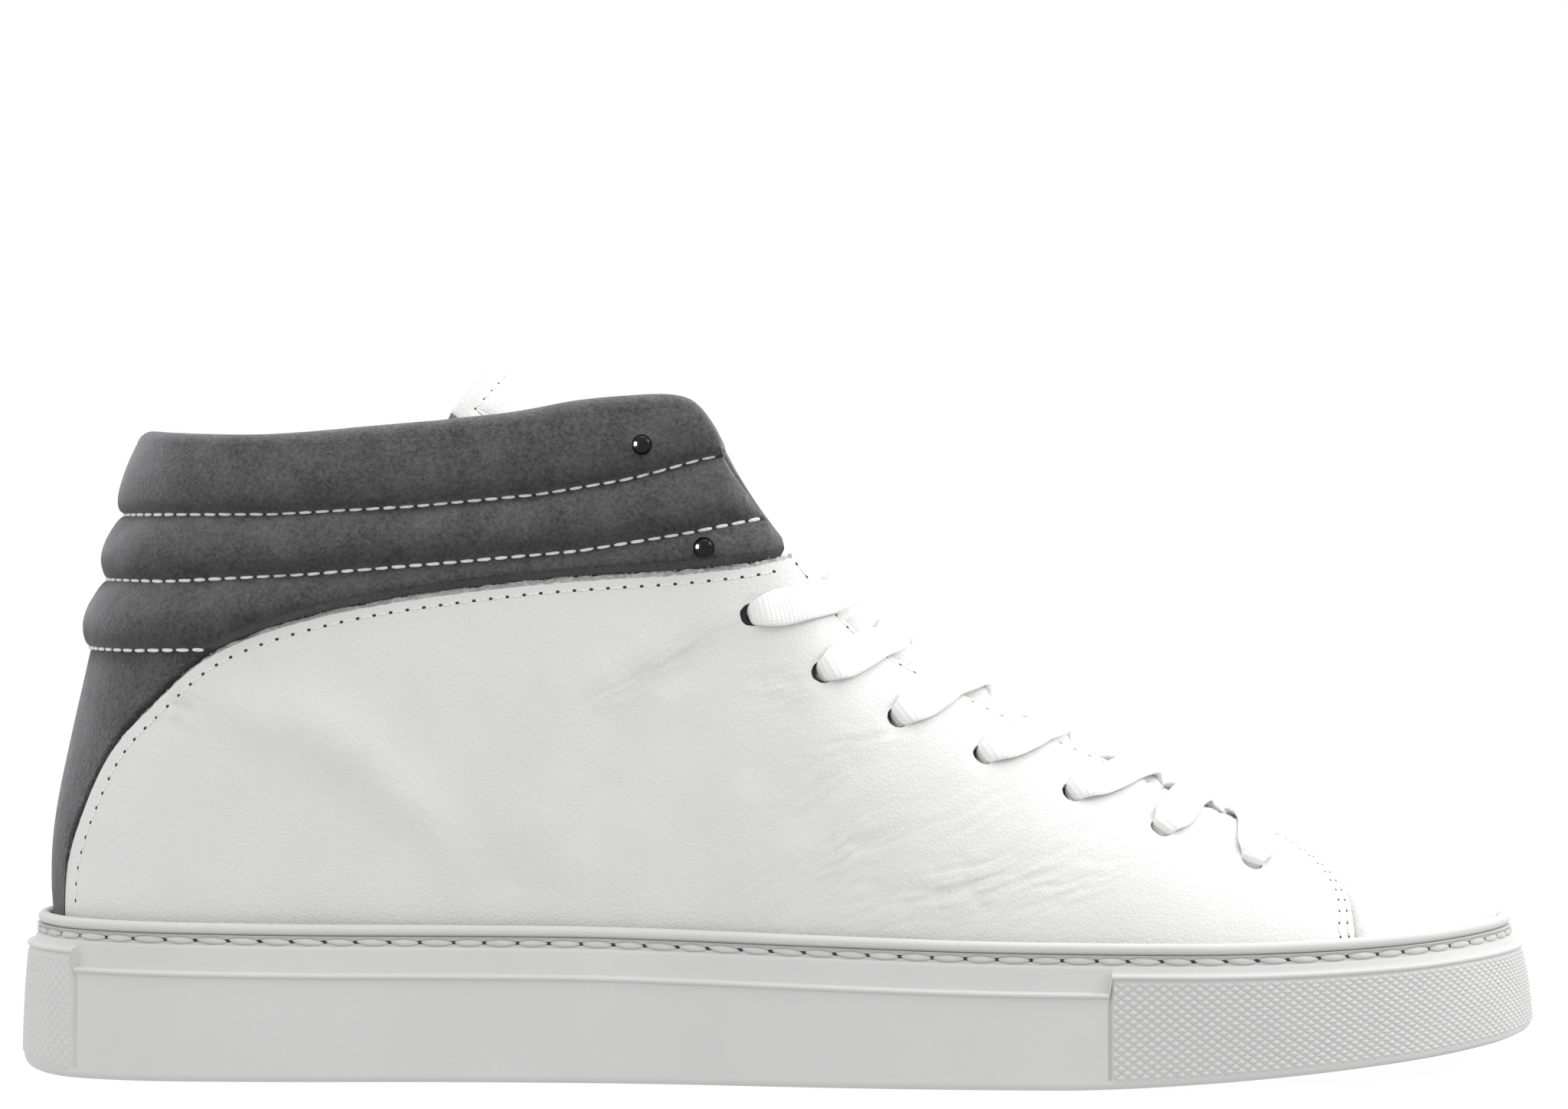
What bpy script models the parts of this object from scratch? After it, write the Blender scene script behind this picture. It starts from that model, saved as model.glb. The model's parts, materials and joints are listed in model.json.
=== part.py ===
"""A leather high-top basketball shoe for the right foot, size EU 43, laced, with its sole stitched on.

Frame: +X points to the toe, +Z up, -Y is the outer (lateral) side of the foot, and the origin is the middle of
the shoe's footprint on the ground. Everything is designed in millimetres from the heel and placed in metres.

The upper is one parametric surface. It runs round the foot with s (0 at the heel, 18 at the toe, 36 back at the
heel, lateral side first) and up with t (0 at the lasting board, 1 at the top line, throat edge or vamp ridge).
Leathers, stiffeners, foam and linings are layers at fixed depths below that surface.
"""

import math

import bmesh
import bpy
import numpy as np
from mathutils import Matrix, Vector

MM = 0.001
SOLE_LENGTH = 302.0
CENTRE_X = SOLE_LENGTH / 2
STATIONS = 36
TOE = 18

# Driving thicknesses, in mm.
LEATHER = 1.3
LINING = 0.8
LAYER_GAP = 0.5
FEATHER_INSET = 7.2
CUP_WALL = 5.2
COLLAR_PAD = 2.0
ROLL_RADIUS = 3.2
EYELET_RADIUS = 2.3
LACE_RADIUS = 1.0

# One row per station from heel to toe: sole outline x, lateral and medial half-width; top line x, half-width, z;
# how the side leaves the top line (x, outwards, down); how high its lower tangent rises.
STATION_ROWS = (
    (0.0, 0.0, 0.0, 24.0, 0.0, 123.8, -10.0, 0.0, 36.0, 32.0),
    (2.5, 15.0, 15.0, 27.0, 14.0, 123.4, -9.0, 0.5, 36.0, 32.0),
    (11.0, 28.0, 28.0, 36.0, 25.0, 122.6, -8.0, 1.0, 36.0, 32.0),
    (27.0, 36.0, 36.0, 52.0, 32.0, 122.4, -7.0, 1.5, 36.0, 32.0),
    (52.0, 38.5, 38.0, 72.0, 35.0, 123.8, -5.0, 1.0, 37.0, 32.0),
    (82.0, 38.5, 36.5, 96.0, 36.0, 126.0, -3.0, 0.5, 38.0, 32.0),
    (110.0, 40.0, 36.5, 117.0, 35.5, 129.2, -1.0, 0.0, 38.0, 32.0),
    (132.0, 43.0, 39.0, 131.0, 34.5, 127.4, 1.0, 1.0, 36.0, 32.0),
    (148.0, 46.5, 42.0, 141.8, 33.0, 116.0, 3.0, 3.5, 28.0, 31.0),
    (163.0, 49.5, 45.5, 153.5, 30.0, 102.6, 3.5, 9.0, 20.0, 29.0),
    (178.0, 51.8, 48.8, 167.0, 25.5, 86.5, 4.0, 13.0, 10.0, 28.0),
    (200.0, 53.8, 52.6, 189.0, 21.5, 73.6, 4.0, 14.5, 4.5, 25.0),
    (222.0, 54.0, 54.0, 210.0, 18.0, 63.5, 4.5, 14.5, 3.0, 22.0),
    (243.0, 51.5, 52.5, 232.0, 13.5, 53.5, 5.0, 14.0, 2.0, 19.0),
    (262.0, 46.0, 47.8, 249.0, 8.0, 46.5, 5.0, 15.0, 1.0, 17.0),
    (278.0, 38.0, 40.5, 256.0, 0.0, 43.6, 4.0, 17.0, 0.6, 16.0),
    (291.0, 26.0, 29.5, 264.0, 0.0, 42.7, 5.0, 16.0, 0.8, 16.0),
    (299.0, 12.0, 16.0, 272.0, 0.0, 41.4, 9.0, 10.0, 1.8, 16.0),
    (302.0, -2.0, 2.0, 280.0, 0.0, 39.8, 12.0, 0.0, 2.4, 16.0),
)

# Side-view lines, as (x, z) in mm from the heel and the ground.
COLLAR_SEAM = (
    (10.2, 20.0),
    (10.0, 31.5),
    (10.6, 41.0),
    (13.8, 51.0),
    (19.7, 63.0),
    (28.0, 72.3),
    (42.5, 83.9),
    (66.3, 91.6),
    (100.0, 96.6),
    (130.0, 98.8),
    (136.5, 99.4),
    (143.0, 100.1),
    (148.0, 100.9),
    (153.3, 102.2),
)
VAMP_SEAM = ((262.2, 18.0), (262.4, 30.0), (262.0, 36.0), (259.5, 40.0), (254.5, 44.0))
EYELETS = (
    (145.7, 90.4),
    (159.6, 79.4),
    (174.2, 70.6),
    (190.8, 63.4),
    (208.2, 56.2),
    (225.4, 49.0),
    (243.2, 42.4),
)
STUDS = ((124.4, 123.2), (136.4, 103.2))
TONGUE_LINE = (
    (264.0, 36.4),
    (256.0, 38.0),
    (244.0, 43.9),
    (228.0, 54.4),
    (208.0, 64.6),
    (188.0, 76.0),
    (172.0, 87.6),
    (158.0, 98.6),
    (142.0, 110.4),
    (124.0, 122.4),
    (108.0, 132.6),
    (96.0, 141.8),
)
TONGUE_HINGE = 7.35  # where along TONGUE_LINE the free flap starts
TONGUE_END = len(TONGUE_LINE) - 1
LACE_CROSSINGS = (6.7, 5.92, 5.0, 4.25, 3.38, 2.66)  # where along TONGUE_LINE the lace crosses itself
LACE_OVER = (9.48, 10.15, 10.78, 11.62, 12.42, 12.98)  # stations where its strands leave over the throat edge
LACE_UNDER = (9.84, 10.5, 11.2, 12.02, 12.74, 13.36)  # and where they come back under the other edge
LACE_BAR = 13.7  # where the lace runs straight across between the last pair of eyelets

# Lattice lines that neighbouring pieces share, so that their facets stay parallel.
SOLE_RING = (0, 0.5, 1, 1.5, 2, 2.5, 3, 4, 5, 6, 7, 8, 9, 10, 11, 12, 13, 14, 15, 15.5, 16, 16.5, 17, 17.5, 18)
REAR_COLUMNS = (1.36, 1.62, 2, 2.5, 3, 4, 5, 6, 7, 7.6, 8.2)
FRONT_COLUMNS = (9, 9.7, 10.3, 11, 11.6, 12.2, 12.9, 13.55, 14.1)
ROWS = (0, 0.12, 0.26, 0.42, 0.58, 0.7, 0.8, 0.88, 0.95, 1.0)

MATERIALS = {
    "white_leather": ((0.86, 0.86, 0.85), 0.5, 0.0),
    "grey_nubuck": ((0.09, 0.09, 0.095), 0.85, 0.0),
    "lining_leather": ((0.8, 0.79, 0.76), 0.7, 0.0),
    "sole_rubber": ((0.82, 0.82, 0.81), 0.6, 0.0),
    "foam": ((0.75, 0.74, 0.68), 0.95, 0.0),
    "fibreboard": ((0.55, 0.45, 0.33), 0.9, 0.0),
    "thermoplastic": ((0.7, 0.7, 0.68), 0.5, 0.0),
    "white_cotton": ((0.9, 0.9, 0.89), 0.9, 0.0),
    "white_thread": ((0.88, 0.88, 0.86), 0.7, 0.0),
    "dark_chrome": ((0.3, 0.3, 0.31), 0.2, 1.0),
    "clear_plastic": ((0.88, 0.88, 0.87), 0.3, 0.0),
}


# ---------------------------------------------------------------- curves and the upper's surface


def around(columns):
    """A table of the 36 stations from the 19 rows, with the sideways columns signed for each side."""
    table = []
    for station in range(STATIONS):
        lateral = station <= TOE
        row = STATION_ROWS[station if lateral else STATIONS - station]
        side = -1.0 if lateral else 1.0
        outline = (row[0], side * (row[1] if lateral else row[2]))
        top = (row[3], side * row[4], row[5])
        leave = (row[6], side * row[7], -row[8])
        table.append({"outline": outline, "top": top, "leave": leave, "rise": (row[9],)}[columns])
    return np.array(table, float)


OUTLINE, TOP, LEAVE, RISE = (around(name) for name in ("outline", "top", "leave", "rise"))


def catmull(points, at, closed=False):
    """Catmull-Rom values at the fractional indices of an array of points."""
    points, at = np.asarray(points, float), np.asarray(at, float)
    count = len(points)
    whole = np.floor(at).astype(int) if closed else np.clip(np.floor(at).astype(int), 0, count - 2)
    part = (at - whole)[..., None]

    def pick(step):
        index = whole + step
        if closed:
            return points[index % count]
        inside = points[np.clip(index, 0, count - 1)]
        before = (2 * points[0] - points[1]) * (index < 0)[..., None]
        after = (2 * points[-1] - points[-2]) * (index >= count)[..., None]
        return np.where((index < 0)[..., None], before, np.where((index >= count)[..., None], after, inside))

    a, b, c, d = (pick(step) for step in (-1, 0, 1, 2))
    return b + 0.5 * part * (c - a + part * (2 * a - 5 * b + 4 * c - d + part * (3 * (b - c) + d - a)))


def outline(s, inset=0.0):
    """The sole's outline, moved inwards by inset: (x, y) points."""
    step = 0.02
    s = np.asarray(s, float)
    run = catmull(OUTLINE, s + step, True) - catmull(OUTLINE, s - step, True)
    out = np.stack([run[..., 1], -run[..., 0]], -1)
    out /= np.linalg.norm(out, axis=-1, keepdims=True)
    return catmull(OUTLINE, s, True) - out * np.asarray(inset, float)[..., None], out


def last_bottom(x):
    """Height of the underside of the foot."""
    return np.interp(x, (0, 60, 110, 155, 200, 240, 275, 302), (20, 19.8, 18.4, 15.2, 12.6, 13.2, 15.4, 18))


def cup_floor(x):
    return np.interp(x, (0, 80, 155, 200, 240, 275, 302), (8, 8, 6.8, 6, 7.4, 9.8, 12.4))


def cup_top(x):
    return np.interp(x, (0, 60, 115, 190, 240, 270, 302), (31.2, 30.4, 30.2, 28.4, 28.4, 29.6, 32.2))


def cup_bottom(x):
    """Flat on the ground, then the toe spring."""
    spring_start, spring_length, spring_height = 205.0, 97.0, 7.5
    return spring_height * (np.clip(np.asarray(x, float) - spring_start, 0, None) / spring_length) ** 1.5


def upper(s, t):
    """Points of the outer face of the upper."""
    s, t = np.broadcast_arrays(np.asarray(s, float), np.asarray(t, float))
    foot, out = outline(s, FEATHER_INSET)
    start = np.concatenate([foot, last_bottom(foot[..., 0])[..., None]], -1)
    lower = start.copy()
    lower[..., :2] += out * 4.2
    lower[..., 2] += catmull(RISE, s, True)[..., 0]
    end = catmull(TOP, s, True)
    lateral = s % STATIONS <= TOE
    end[..., 1] = np.where(lateral, np.minimum(end[..., 1], 0), np.maximum(end[..., 1], 0))
    higher = end + catmull(LEAVE, s, True)
    w = t[..., None]
    v = 1 - w
    return v**3 * start + 3 * v * v * w * lower + 3 * v * w * w * higher + w**3 * end


def upper_frame(s, t):
    """(outward normal, direction along the surface towards larger t)."""
    step = 0.01
    s, t = np.broadcast_arrays(np.asarray(s, float), np.asarray(t, float))
    t = np.clip(t, step, 0.975)
    up = upper(s, t + step) - upper(s, t - step)
    normal = np.cross(upper(s + step, t) - upper(s - step, t), up)
    unit = lambda v: v / np.linalg.norm(v, axis=-1, keepdims=True)
    return unit(normal), unit(up)


def layer(s, t, depth):
    """Points depth below the outer face. On the vamp's ridge both sides give the same point."""
    s, t, depth = np.broadcast_arrays(*(np.asarray(v, float) for v in (s, t, depth)))
    normal = upper_frame(s, t)[0]
    other = upper_frame(STATIONS - s, t)[0]
    on_ridge = ((t > 0.999) & (abs(s % STATIONS - TOE) <= 3.0))[..., None]
    both = normal + other
    both[..., 1] = 0
    both /= np.linalg.norm(both, axis=-1, keepdims=True)
    return upper(s, t) - np.where(on_ridge, both, normal) * depth[..., None]


def locate(x, z, side=-1, near=(9.0, 0.7)):
    """The (s, t) of the lateral or medial face at a side-view place, by Newton's method."""
    s, t = near
    step = 1e-3
    for _ in range(40):
        here, along, above = (upper(*p)[[0, 2]] for p in ((s, t), (s + step, t), (s, t + step)))
        slope = np.stack([(along - here) / step, (above - here) / step], 1)
        move = np.linalg.solve(slope, np.array([x, z]) - here)
        s, t = s + np.clip(move[0], -1, 1), float(np.clip(t + np.clip(move[1], -0.2, 0.2), 0, 1))
    return (s if side < 0 else STATIONS - s), t


def seam_stations(line, near):
    """Arrays (t, s) along a side-view seam of the lateral side, by rising t."""
    found = []
    for x, z in line:
        near = locate(x, z, near=near)
        found.append(near)
    s, t = np.array(found).T
    order = np.argsort(t)
    return t[order], s[order]


SEAM_T, SEAM_S = seam_stations(COLLAR_SEAM, (1.6, 0.05))
VAMP_T, VAMP_S = seam_stations(VAMP_SEAM, (14.0, 0.1))


def collar_edge_s(t):
    """Where the quarter starts, behind, at the height t."""
    return np.where(np.asarray(t) >= 1, 9.0, np.interp(t, SEAM_T, SEAM_S))


def collar_edge_t(s):
    """Where the collar starts, below, at the station s of either side."""
    side = np.minimum(np.asarray(s) % STATIONS, (-np.asarray(s)) % STATIONS)
    return np.interp(side, SEAM_S, SEAM_T, left=0.0)


def lining_depth(s):
    """Depth of the lining's outer face: deep behind padding and counter, shallow at the eyelets."""
    side = np.minimum(np.asarray(s) % STATIONS, (-np.asarray(s)) % STATIONS)
    return np.interp(side, (7, 9, 13, 13.8), (5.2, 3.3, 3.3, 3.8))


def padding(s, t):
    """Share of the collar's full padding at a place of either side."""
    side = np.minimum(np.asarray(s) % STATIONS, (-np.asarray(s)) % STATIONS)
    start = np.maximum(collar_edge_t(s), 0.4)
    return np.clip((t - start) / 0.1, 0, 1) * np.clip((9.0 - side) / 1.4, 0, 1)


def lean_to_vamp(s, t):
    """Stations moved so that the last of FRONT_COLUMNS follows the vamp seam."""
    s = np.asarray(s, float)
    return s + np.clip((s - 12.2) / 1.9, 0, 1) * (np.interp(t, VAMP_T, VAMP_S) - 14.1)


# ---------------------------------------------------------------- making objects


def material(name):
    colour, roughness, metallic = MATERIALS[name]
    made = bpy.data.materials.get(name)
    if made is None:
        made = bpy.data.materials.new(name)
        made.use_nodes = True
        shader = made.node_tree.nodes["Principled BSDF"]
        shader.inputs["Base Color"].default_value = (*colour, 1)
        shader.inputs["Roughness"].default_value = roughness
        shader.inputs["Metallic"].default_value = metallic
        made.diffuse_color = (*colour, 1)
    return made


def place(points):
    """Millimetres from the heel to metres in the shoe's frame."""
    points = np.asarray(points, float).reshape(-1, 3)
    return (points - (CENTRE_X, 0, 0)) * MM


def add_object(name, points, faces, surface, weld=True):
    mesh = bpy.data.meshes.new(name)
    mesh.from_pydata([tuple(p) for p in place(points)], [], [list(map(int, f)) for f in faces])
    if weld:
        bm = bmesh.new()
        bm.from_mesh(mesh)
        bmesh.ops.remove_doubles(bm, verts=bm.verts, dist=0.02 * MM)
        bmesh.ops.dissolve_degenerate(bm, edges=bm.edges, dist=0.005 * MM)
        bm.to_mesh(mesh)
        bm.free()
    mesh.shade_smooth()
    mesh.set_sharp_from_angle(angle=math.radians(40))
    made = bpy.data.objects.new(name, mesh)
    bpy.context.scene.collection.objects.link(made)
    if surface:
        mesh.materials.append(material(surface))
    return made


def grid_faces(columns, rows, closed=False):
    last = columns if closed else columns - 1
    for i in range(last):
        for j in range(rows - 1):
            a, b = i * rows + j, (i + 1) % columns * rows + j
            yield a, b, b + 1, a + 1


def sheet(name, points, thickness, surface, closed=False):
    """A skin of that thickness below a grid of points, columns first."""
    columns, rows = points.shape[:2]
    made = add_object(name, points, grid_faces(columns, rows, closed), surface)
    solid = made.modifiers.new("thickness", "SOLIDIFY")
    solid.thickness = thickness * MM
    solid.offset = -1
    solid.use_even_offset = True
    return made


def cut(target, cutter):
    hole = target.modifiers.new("cut by " + cutter.name, "BOOLEAN")
    hole.operation = "DIFFERENCE"
    hole.solver = "EXACT"
    hole.use_hole_tolerant = True
    hole.object = cutter


def as_cutter(made):
    made.hide_render = True
    made.display_type = "WIRE"
    return made


def slab(name, inset, low, high, surface):
    """A flat piece inside the sole: the sole's outline moved in, between two heights that follow the shoe."""
    side = np.array(SOLE_RING)
    ring = np.concatenate([side, STATIONS - side[-2:0:-1]])
    foot = outline(ring, inset)[0]
    levels = [np.column_stack([foot, level(foot[:, 0])]) for level in (low, high)]
    points = np.stack(levels, 1)
    faces = list(grid_faces(len(ring), 2, True))
    for i in range(len(side) - 1):
        a, b = i, i + 1
        c, d = (len(ring) - i - 1) % len(ring), (len(ring) - i) % len(ring)
        quad = [2 * a, 2 * b, 2 * c, 2 * d]
        corners = list(dict.fromkeys(quad))
        if len(corners) > 2:
            faces.append(corners[::-1])
            faces.append([k + 1 for k in corners])
    return add_object(name, points, faces, surface)


def frame_at(point, direction):
    """A matrix with +Z along direction, at a point in mm."""
    turn = Vector(direction).to_track_quat("Z", "Y").to_matrix().to_4x4()
    return Matrix.Translation(Vector(place(point)[0])) @ turn


def turned(name, profile, matrix, surface, steps=12):
    """A closed body spun round local Z from (radius, height) points in mm, first and last on the axis or a loop."""
    bm = bmesh.new()
    points = [bm.verts.new((r * MM, 0, h * MM)) for r, h in profile]
    edges = [bm.edges.new(pair) for pair in zip(points, points[1:])]
    bmesh.ops.spin(
        bm, geom=points + edges, cent=(0, 0, 0), axis=(0, 0, 1), angle=2 * math.pi, steps=steps, use_merge=True
    )
    bmesh.ops.remove_doubles(bm, verts=bm.verts, dist=0.001 * MM)
    bmesh.ops.recalc_face_normals(bm, faces=bm.faces)
    mesh = bpy.data.meshes.new(name)
    bm.to_mesh(mesh)
    bm.free()
    mesh.shade_smooth()
    mesh.set_sharp_from_angle(angle=math.radians(35))
    made = bpy.data.objects.new(name, mesh)
    made.matrix_world = matrix
    bpy.context.scene.collection.objects.link(made)
    if surface:
        mesh.materials.append(material(surface))
    return made


def tube(name, points, radius, surface, closed=False, sides=2):
    """A round cord along points in mm."""
    curve = bpy.data.curves.new(name, "CURVE")
    curve.dimensions = "3D"
    line = curve.splines.new("POLY")
    spots = place(points)
    line.points.add(len(spots) - 1)
    for spot, point in zip(line.points, spots):
        spot.co = (*point, 1)
    line.use_cyclic_u = closed
    curve.bevel_depth = radius * MM
    curve.bevel_resolution = sides
    curve.use_fill_caps = not closed
    curve.materials.append(material(surface))
    made = bpy.data.objects.new(name, curve)
    bpy.context.scene.collection.objects.link(made)
    return made


# ---------------------------------------------------------------- the sole unit


def make_cupsole():
    """The moulded rubber cup: wall with a raised foxing band, stitch groove and rounded lip, and its floor."""
    side = np.array(SOLE_RING)
    ring = np.concatenate([side, STATIONS - side[-2:0:-1]])
    x = outline(ring)[0][:, 0]
    bottom, top, floor = cup_bottom(x), cup_top(x), cup_floor(x)
    stitch = top - 3.6
    band = top - 9.2 + 3.4 * np.clip((x - 212) / 88, 0, 1) ** 2
    profile = (
        (2.0, bottom),
        (0.0, bottom + 2.4),
        (0.0, bottom + 12.0),
        (0.6, band - 0.4),
        (1.8, band),
        (2.1, stitch - 1.1),
        (3.0, stitch),
        (2.1, stitch + 1.1),
        (2.5, top - 0.9),
        (3.7, top),
        (CUP_WALL, top - 0.5),
        (CUP_WALL, floor),
    )
    rows = [np.column_stack([outline(ring, inset)[0], height]) for inset, height in profile]
    points = np.stack(rows, 1)
    count, rows_count = len(ring), len(profile)
    faces = list(grid_faces(count, rows_count, True))
    for i in range(len(side) - 1):
        quad = [i, i + 1, (count - i - 1) % count, (count - i) % count]
        corners = list(dict.fromkeys(quad))
        faces.append([k * rows_count for k in corners[::-1]])
        faces.append([k * rows_count + rows_count - 1 for k in corners])
    add_object("cupsole", points, faces, "sole_rubber")
    foot = outline(ring, 1.75)[0]
    tube("sole_stitch", np.column_stack([foot, cup_top(foot[:, 0]) - 3.6]), 0.5, "white_thread", closed=True, sides=1)


def make_insides_of_sole():
    """Filler, lasting board and sockliner, from the cup's floor up."""
    board_low, board_high, foam_high = 2.2, 0.5, 3.4
    slab(
        "foam_filler",
        CUP_WALL + 0.7,
        lambda x: cup_floor(x) + 0.9,
        lambda x: last_bottom(x) - board_low - 0.5,
        "foam",
    )
    slab(
        "lasting_board",
        CUP_WALL + 0.9,
        lambda x: last_bottom(x) - board_low,
        lambda x: last_bottom(x) - board_high,
        "fibreboard",
    )
    liner_inset = FEATHER_INSET + 7.4
    slab("sockliner_foam", liner_inset, last_bottom, lambda x: last_bottom(x) + foam_high, "foam")
    slab(
        "sockliner_cover",
        liner_inset,
        lambda x: last_bottom(x) + foam_high + 0.4,
        lambda x: last_bottom(x) + foam_high + 1.4,
        "lining_leather",
    )


# ---------------------------------------------------------------- the upper


def both_sides(s, t, side):
    """A lateral grid as it is, or turned over for the medial side."""
    return (s, t) if side < 0 else ((STATIONS - s)[::-1], t[::-1])


def make_quarters(punches):
    """The two white side panels, from the collar seam to the vamp seam."""
    columns, rows = np.array((SEAM_S[0], *REAR_COLUMNS, *FRONT_COLUMNS)), np.array(ROWS)
    top = np.where(columns < 8.9, collar_edge_t(columns), 1.0)
    t = top[:, None] * rows
    s = lean_to_vamp(columns[:, None], t)
    for name, side in (("quarter_lateral", -1), ("quarter_medial", 1)):
        grid_s, grid_t = both_sides(s, t, side)
        cut(sheet(name, layer(grid_s, grid_t, 0.0), LEATHER, "white_leather"), punches[side])


def make_vamp():
    """The toe piece, with its wings under the quarters, and the puff and lining behind it."""
    rows = np.array([0, 0.1, 0.2, 0.32, 0.45, 0.58, 0.7, 0.8, 0.9, 1.0])
    toe_part = np.array([0, 0.12, 0.25, 0.37, 0.5, 0.6, 0.7, 0.8, 0.9, 1.0])
    start = np.interp(rows, VAMP_T, VAMP_S) - 0.4
    start[-1] = 14.6
    half = start + toe_part[:, None] * (TOE - start)
    s = np.concatenate([half, STATIONS - half[-2::-1]])
    under = LEATHER + LAYER_GAP + 0.3
    seam = np.interp(rows, VAMP_T, VAMP_S)
    near_toe = np.clip((np.minimum(s, STATIONS - s) - seam - 0.25) / 0.4, 0, 1)
    depth = under * (1 - near_toe)
    sheet("vamp", layer(s, rows + 0 * s, depth), LEATHER, "white_leather")
    puff_rows = np.array([0, 0.15, 0.32, 0.5, 0.66])
    puff = np.linspace(15.7, STATIONS - 15.7, 13)
    grid_s, grid_t = np.meshgrid(puff, puff_rows, indexing="ij")
    sheet("toe_puff", layer(grid_s, grid_t, LEATHER + LAYER_GAP), 0.9, "thermoplastic")
    lining_half = np.array([15.4, 15.7, 16, 16.5, 17, 17.5, 18])
    lining = np.concatenate([lining_half, STATIONS - lining_half[-2::-1]])
    grid_s, grid_t = np.meshgrid(lining, rows, indexing="ij")
    sheet("vamp_lining", layer(grid_s, grid_t, lining_depth(grid_s)), LINING, "lining_leather")


def collar_profile(s):
    """(t, depth, lift) rows of the collar panel: up from under the quarter, over the rolled top, and down inside."""
    seam = collar_edge_t(s)
    pinch = np.clip((9.0 - abs(s)) / 1.4, 0, 1)
    radius = 0.9 + (ROLL_RADIUS - 0.9) * pinch
    centre = COLLAR_PAD * pinch - radius
    under = np.where(abs(s) > 1.1, LEATHER + LAYER_GAP + 0.6, 0.0)
    low = np.clip(seam - 0.06, 0, 1)
    rows = [(low, under, 0 * s), (seam + 0.035 * (1 - seam), under, 0 * s)]
    for share in (0.2, 0.4, 0.56, 0.75, 0.94):
        t = seam + share * (1 - seam)
        rows.append((t, -COLLAR_PAD * padding(s, t), 0 * s))
    for turn in (0, 50, 90, 130, 180):
        angle = math.radians(turn)
        rows.append((1 + 0 * s, -centre - radius * math.cos(angle), radius * math.sin(angle)))
    rows.append((1 - 0.12 * (1 - seam), -centre + radius, 0 * s))
    return [np.stack(part, -1) for part in zip(*rows)]


def make_collar(stud_holes):
    """The quilted grey panel round the ankle and down the heel, its foam, and the heel counter."""
    half = np.array((0, 0.5, 0.9, 1.15, *REAR_COLUMNS, 8.7))
    s = np.concatenate([-half[:0:-1], half])
    t, depth, lift = collar_profile(s)
    grid_s = s[:, None] + 0 * t
    points = layer(grid_s, t, depth) + upper_frame(grid_s, t)[1] * lift[..., None]
    cut(sheet("collar_panel", points, 1.2, "grey_nubuck"), stud_holes)

    foam_half = half[half <= 7.7]
    s = np.concatenate([-foam_half[:0:-1], foam_half])
    seam = collar_edge_t(s)[:, None]
    low = np.maximum(seam + 0.22 * (1 - seam), 0.58)
    t = low + np.array([0, 0.33, 0.66, 1.0]) * (1 - 0.16 * (1 - seam) - low)
    grid_s = s[:, None] + 0 * t
    depth = 2.05 - COLLAR_PAD * padding(grid_s, t)
    cut(sheet("collar_foam", layer(grid_s, t, depth), 2.4, "foam"), stud_holes)

    counter = half[half <= 4]
    s = np.concatenate([-counter[:0:-1], counter])
    rows = np.array([0.02, 0.1, 0.2, 0.3, 0.4])
    grid_s, grid_t = np.meshgrid(s, rows, indexing="ij")
    sheet("heel_counter", layer(grid_s, grid_t, 4.25), 0.6, "thermoplastic")


def make_lining(punches, stud_holes):
    """The lining of heel and quarters, in one piece from throat edge round the heel to throat edge."""
    half = np.array((0, 0.5, 1, *REAR_COLUMNS, *FRONT_COLUMNS, 14.75))
    s = np.concatenate([-half[:0:-1], half])
    rows = np.array([row for row in ROWS if row not in (0.12, 0.42)])
    top = np.interp(abs(s), (8.4, 9.0, 14.1, 14.2), (0.95, 1.0, 1.0, 0.8))
    grid_t = top[:, None] * rows
    grid_s = np.sign(s)[:, None] * lean_to_vamp(abs(s)[:, None], grid_t)
    made = sheet("quarter_lining", layer(grid_s, grid_t, lining_depth(grid_s)), LINING, "lining_leather")
    for cutter in (punches[-1], punches[1], stud_holes):
        cut(made, cutter)


def make_eyestays(punches):
    """The reinforcing strips behind the eyelets, between quarter and lining."""
    columns = np.array((*REAR_COLUMNS[-2:], *FRONT_COLUMNS[:-1]))
    rows = np.array([row for row in ROWS if 0.5 < row < 1])
    low = np.where(columns < 8.9, 0.52, rows[0])[:, None]
    high = np.where(columns < 8.9, collar_edge_t(columns) - 0.075, rows[-1])[:, None]
    for name, side in (("eyestay_lateral", -1), ("eyestay_medial", 1)):
        grid_t = low + (rows - rows[0]) / (rows[-1] - rows[0]) * (high - low)
        grid_s, grid_t = both_sides(lean_to_vamp(columns[:, None], grid_t), grid_t, side)
        made = sheet(name, layer(grid_s, grid_t, LEATHER + 0.55), 0.8, "thermoplastic")
        cut(made, punches[side])


# ---------------------------------------------------------------- the tongue


def tongue_arch(u):
    """(radius of the arch, half the arc's angle) along the tongue."""
    radius = np.interp(u, (0, 1, 3, 5, 7, 11), (15, 15, 19, 26, 28.5, 28.5))
    half_width = np.interp(u, (0, 1, 3, 5, 7, 7.6, 11), (12, 13, 16.5, 23.5, 24.5, 24.8, 25.2))
    return radius, np.arcsin(half_width / radius)


def tongue(u, v, depth=0.0):
    """Points of the tongue: u along TONGUE_LINE, v across from -1 to 1."""
    u, v, depth = np.broadcast_arrays(*(np.asarray(k, float) for k in (u, v, depth)))
    line = np.array(TONGUE_LINE)
    here = catmull(line, u)
    run = catmull(line, np.minimum(u + 0.02, TONGUE_END)) - catmull(line, u - 0.02)
    up = np.stack([-run[..., 1], 0 * u, run[..., 0]], -1)
    up /= -np.linalg.norm(up, axis=-1, keepdims=True)
    radius, half_angle = (k[..., None] for k in tongue_arch(u))
    angle = v[..., None] * half_angle
    centre = np.stack([here[..., 0], 0 * u, here[..., 1]], -1) - up * radius
    return centre + (radius - depth[..., None]) * (up * np.cos(angle) + np.array([0, 1.0, 0]) * np.sin(angle))


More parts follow.
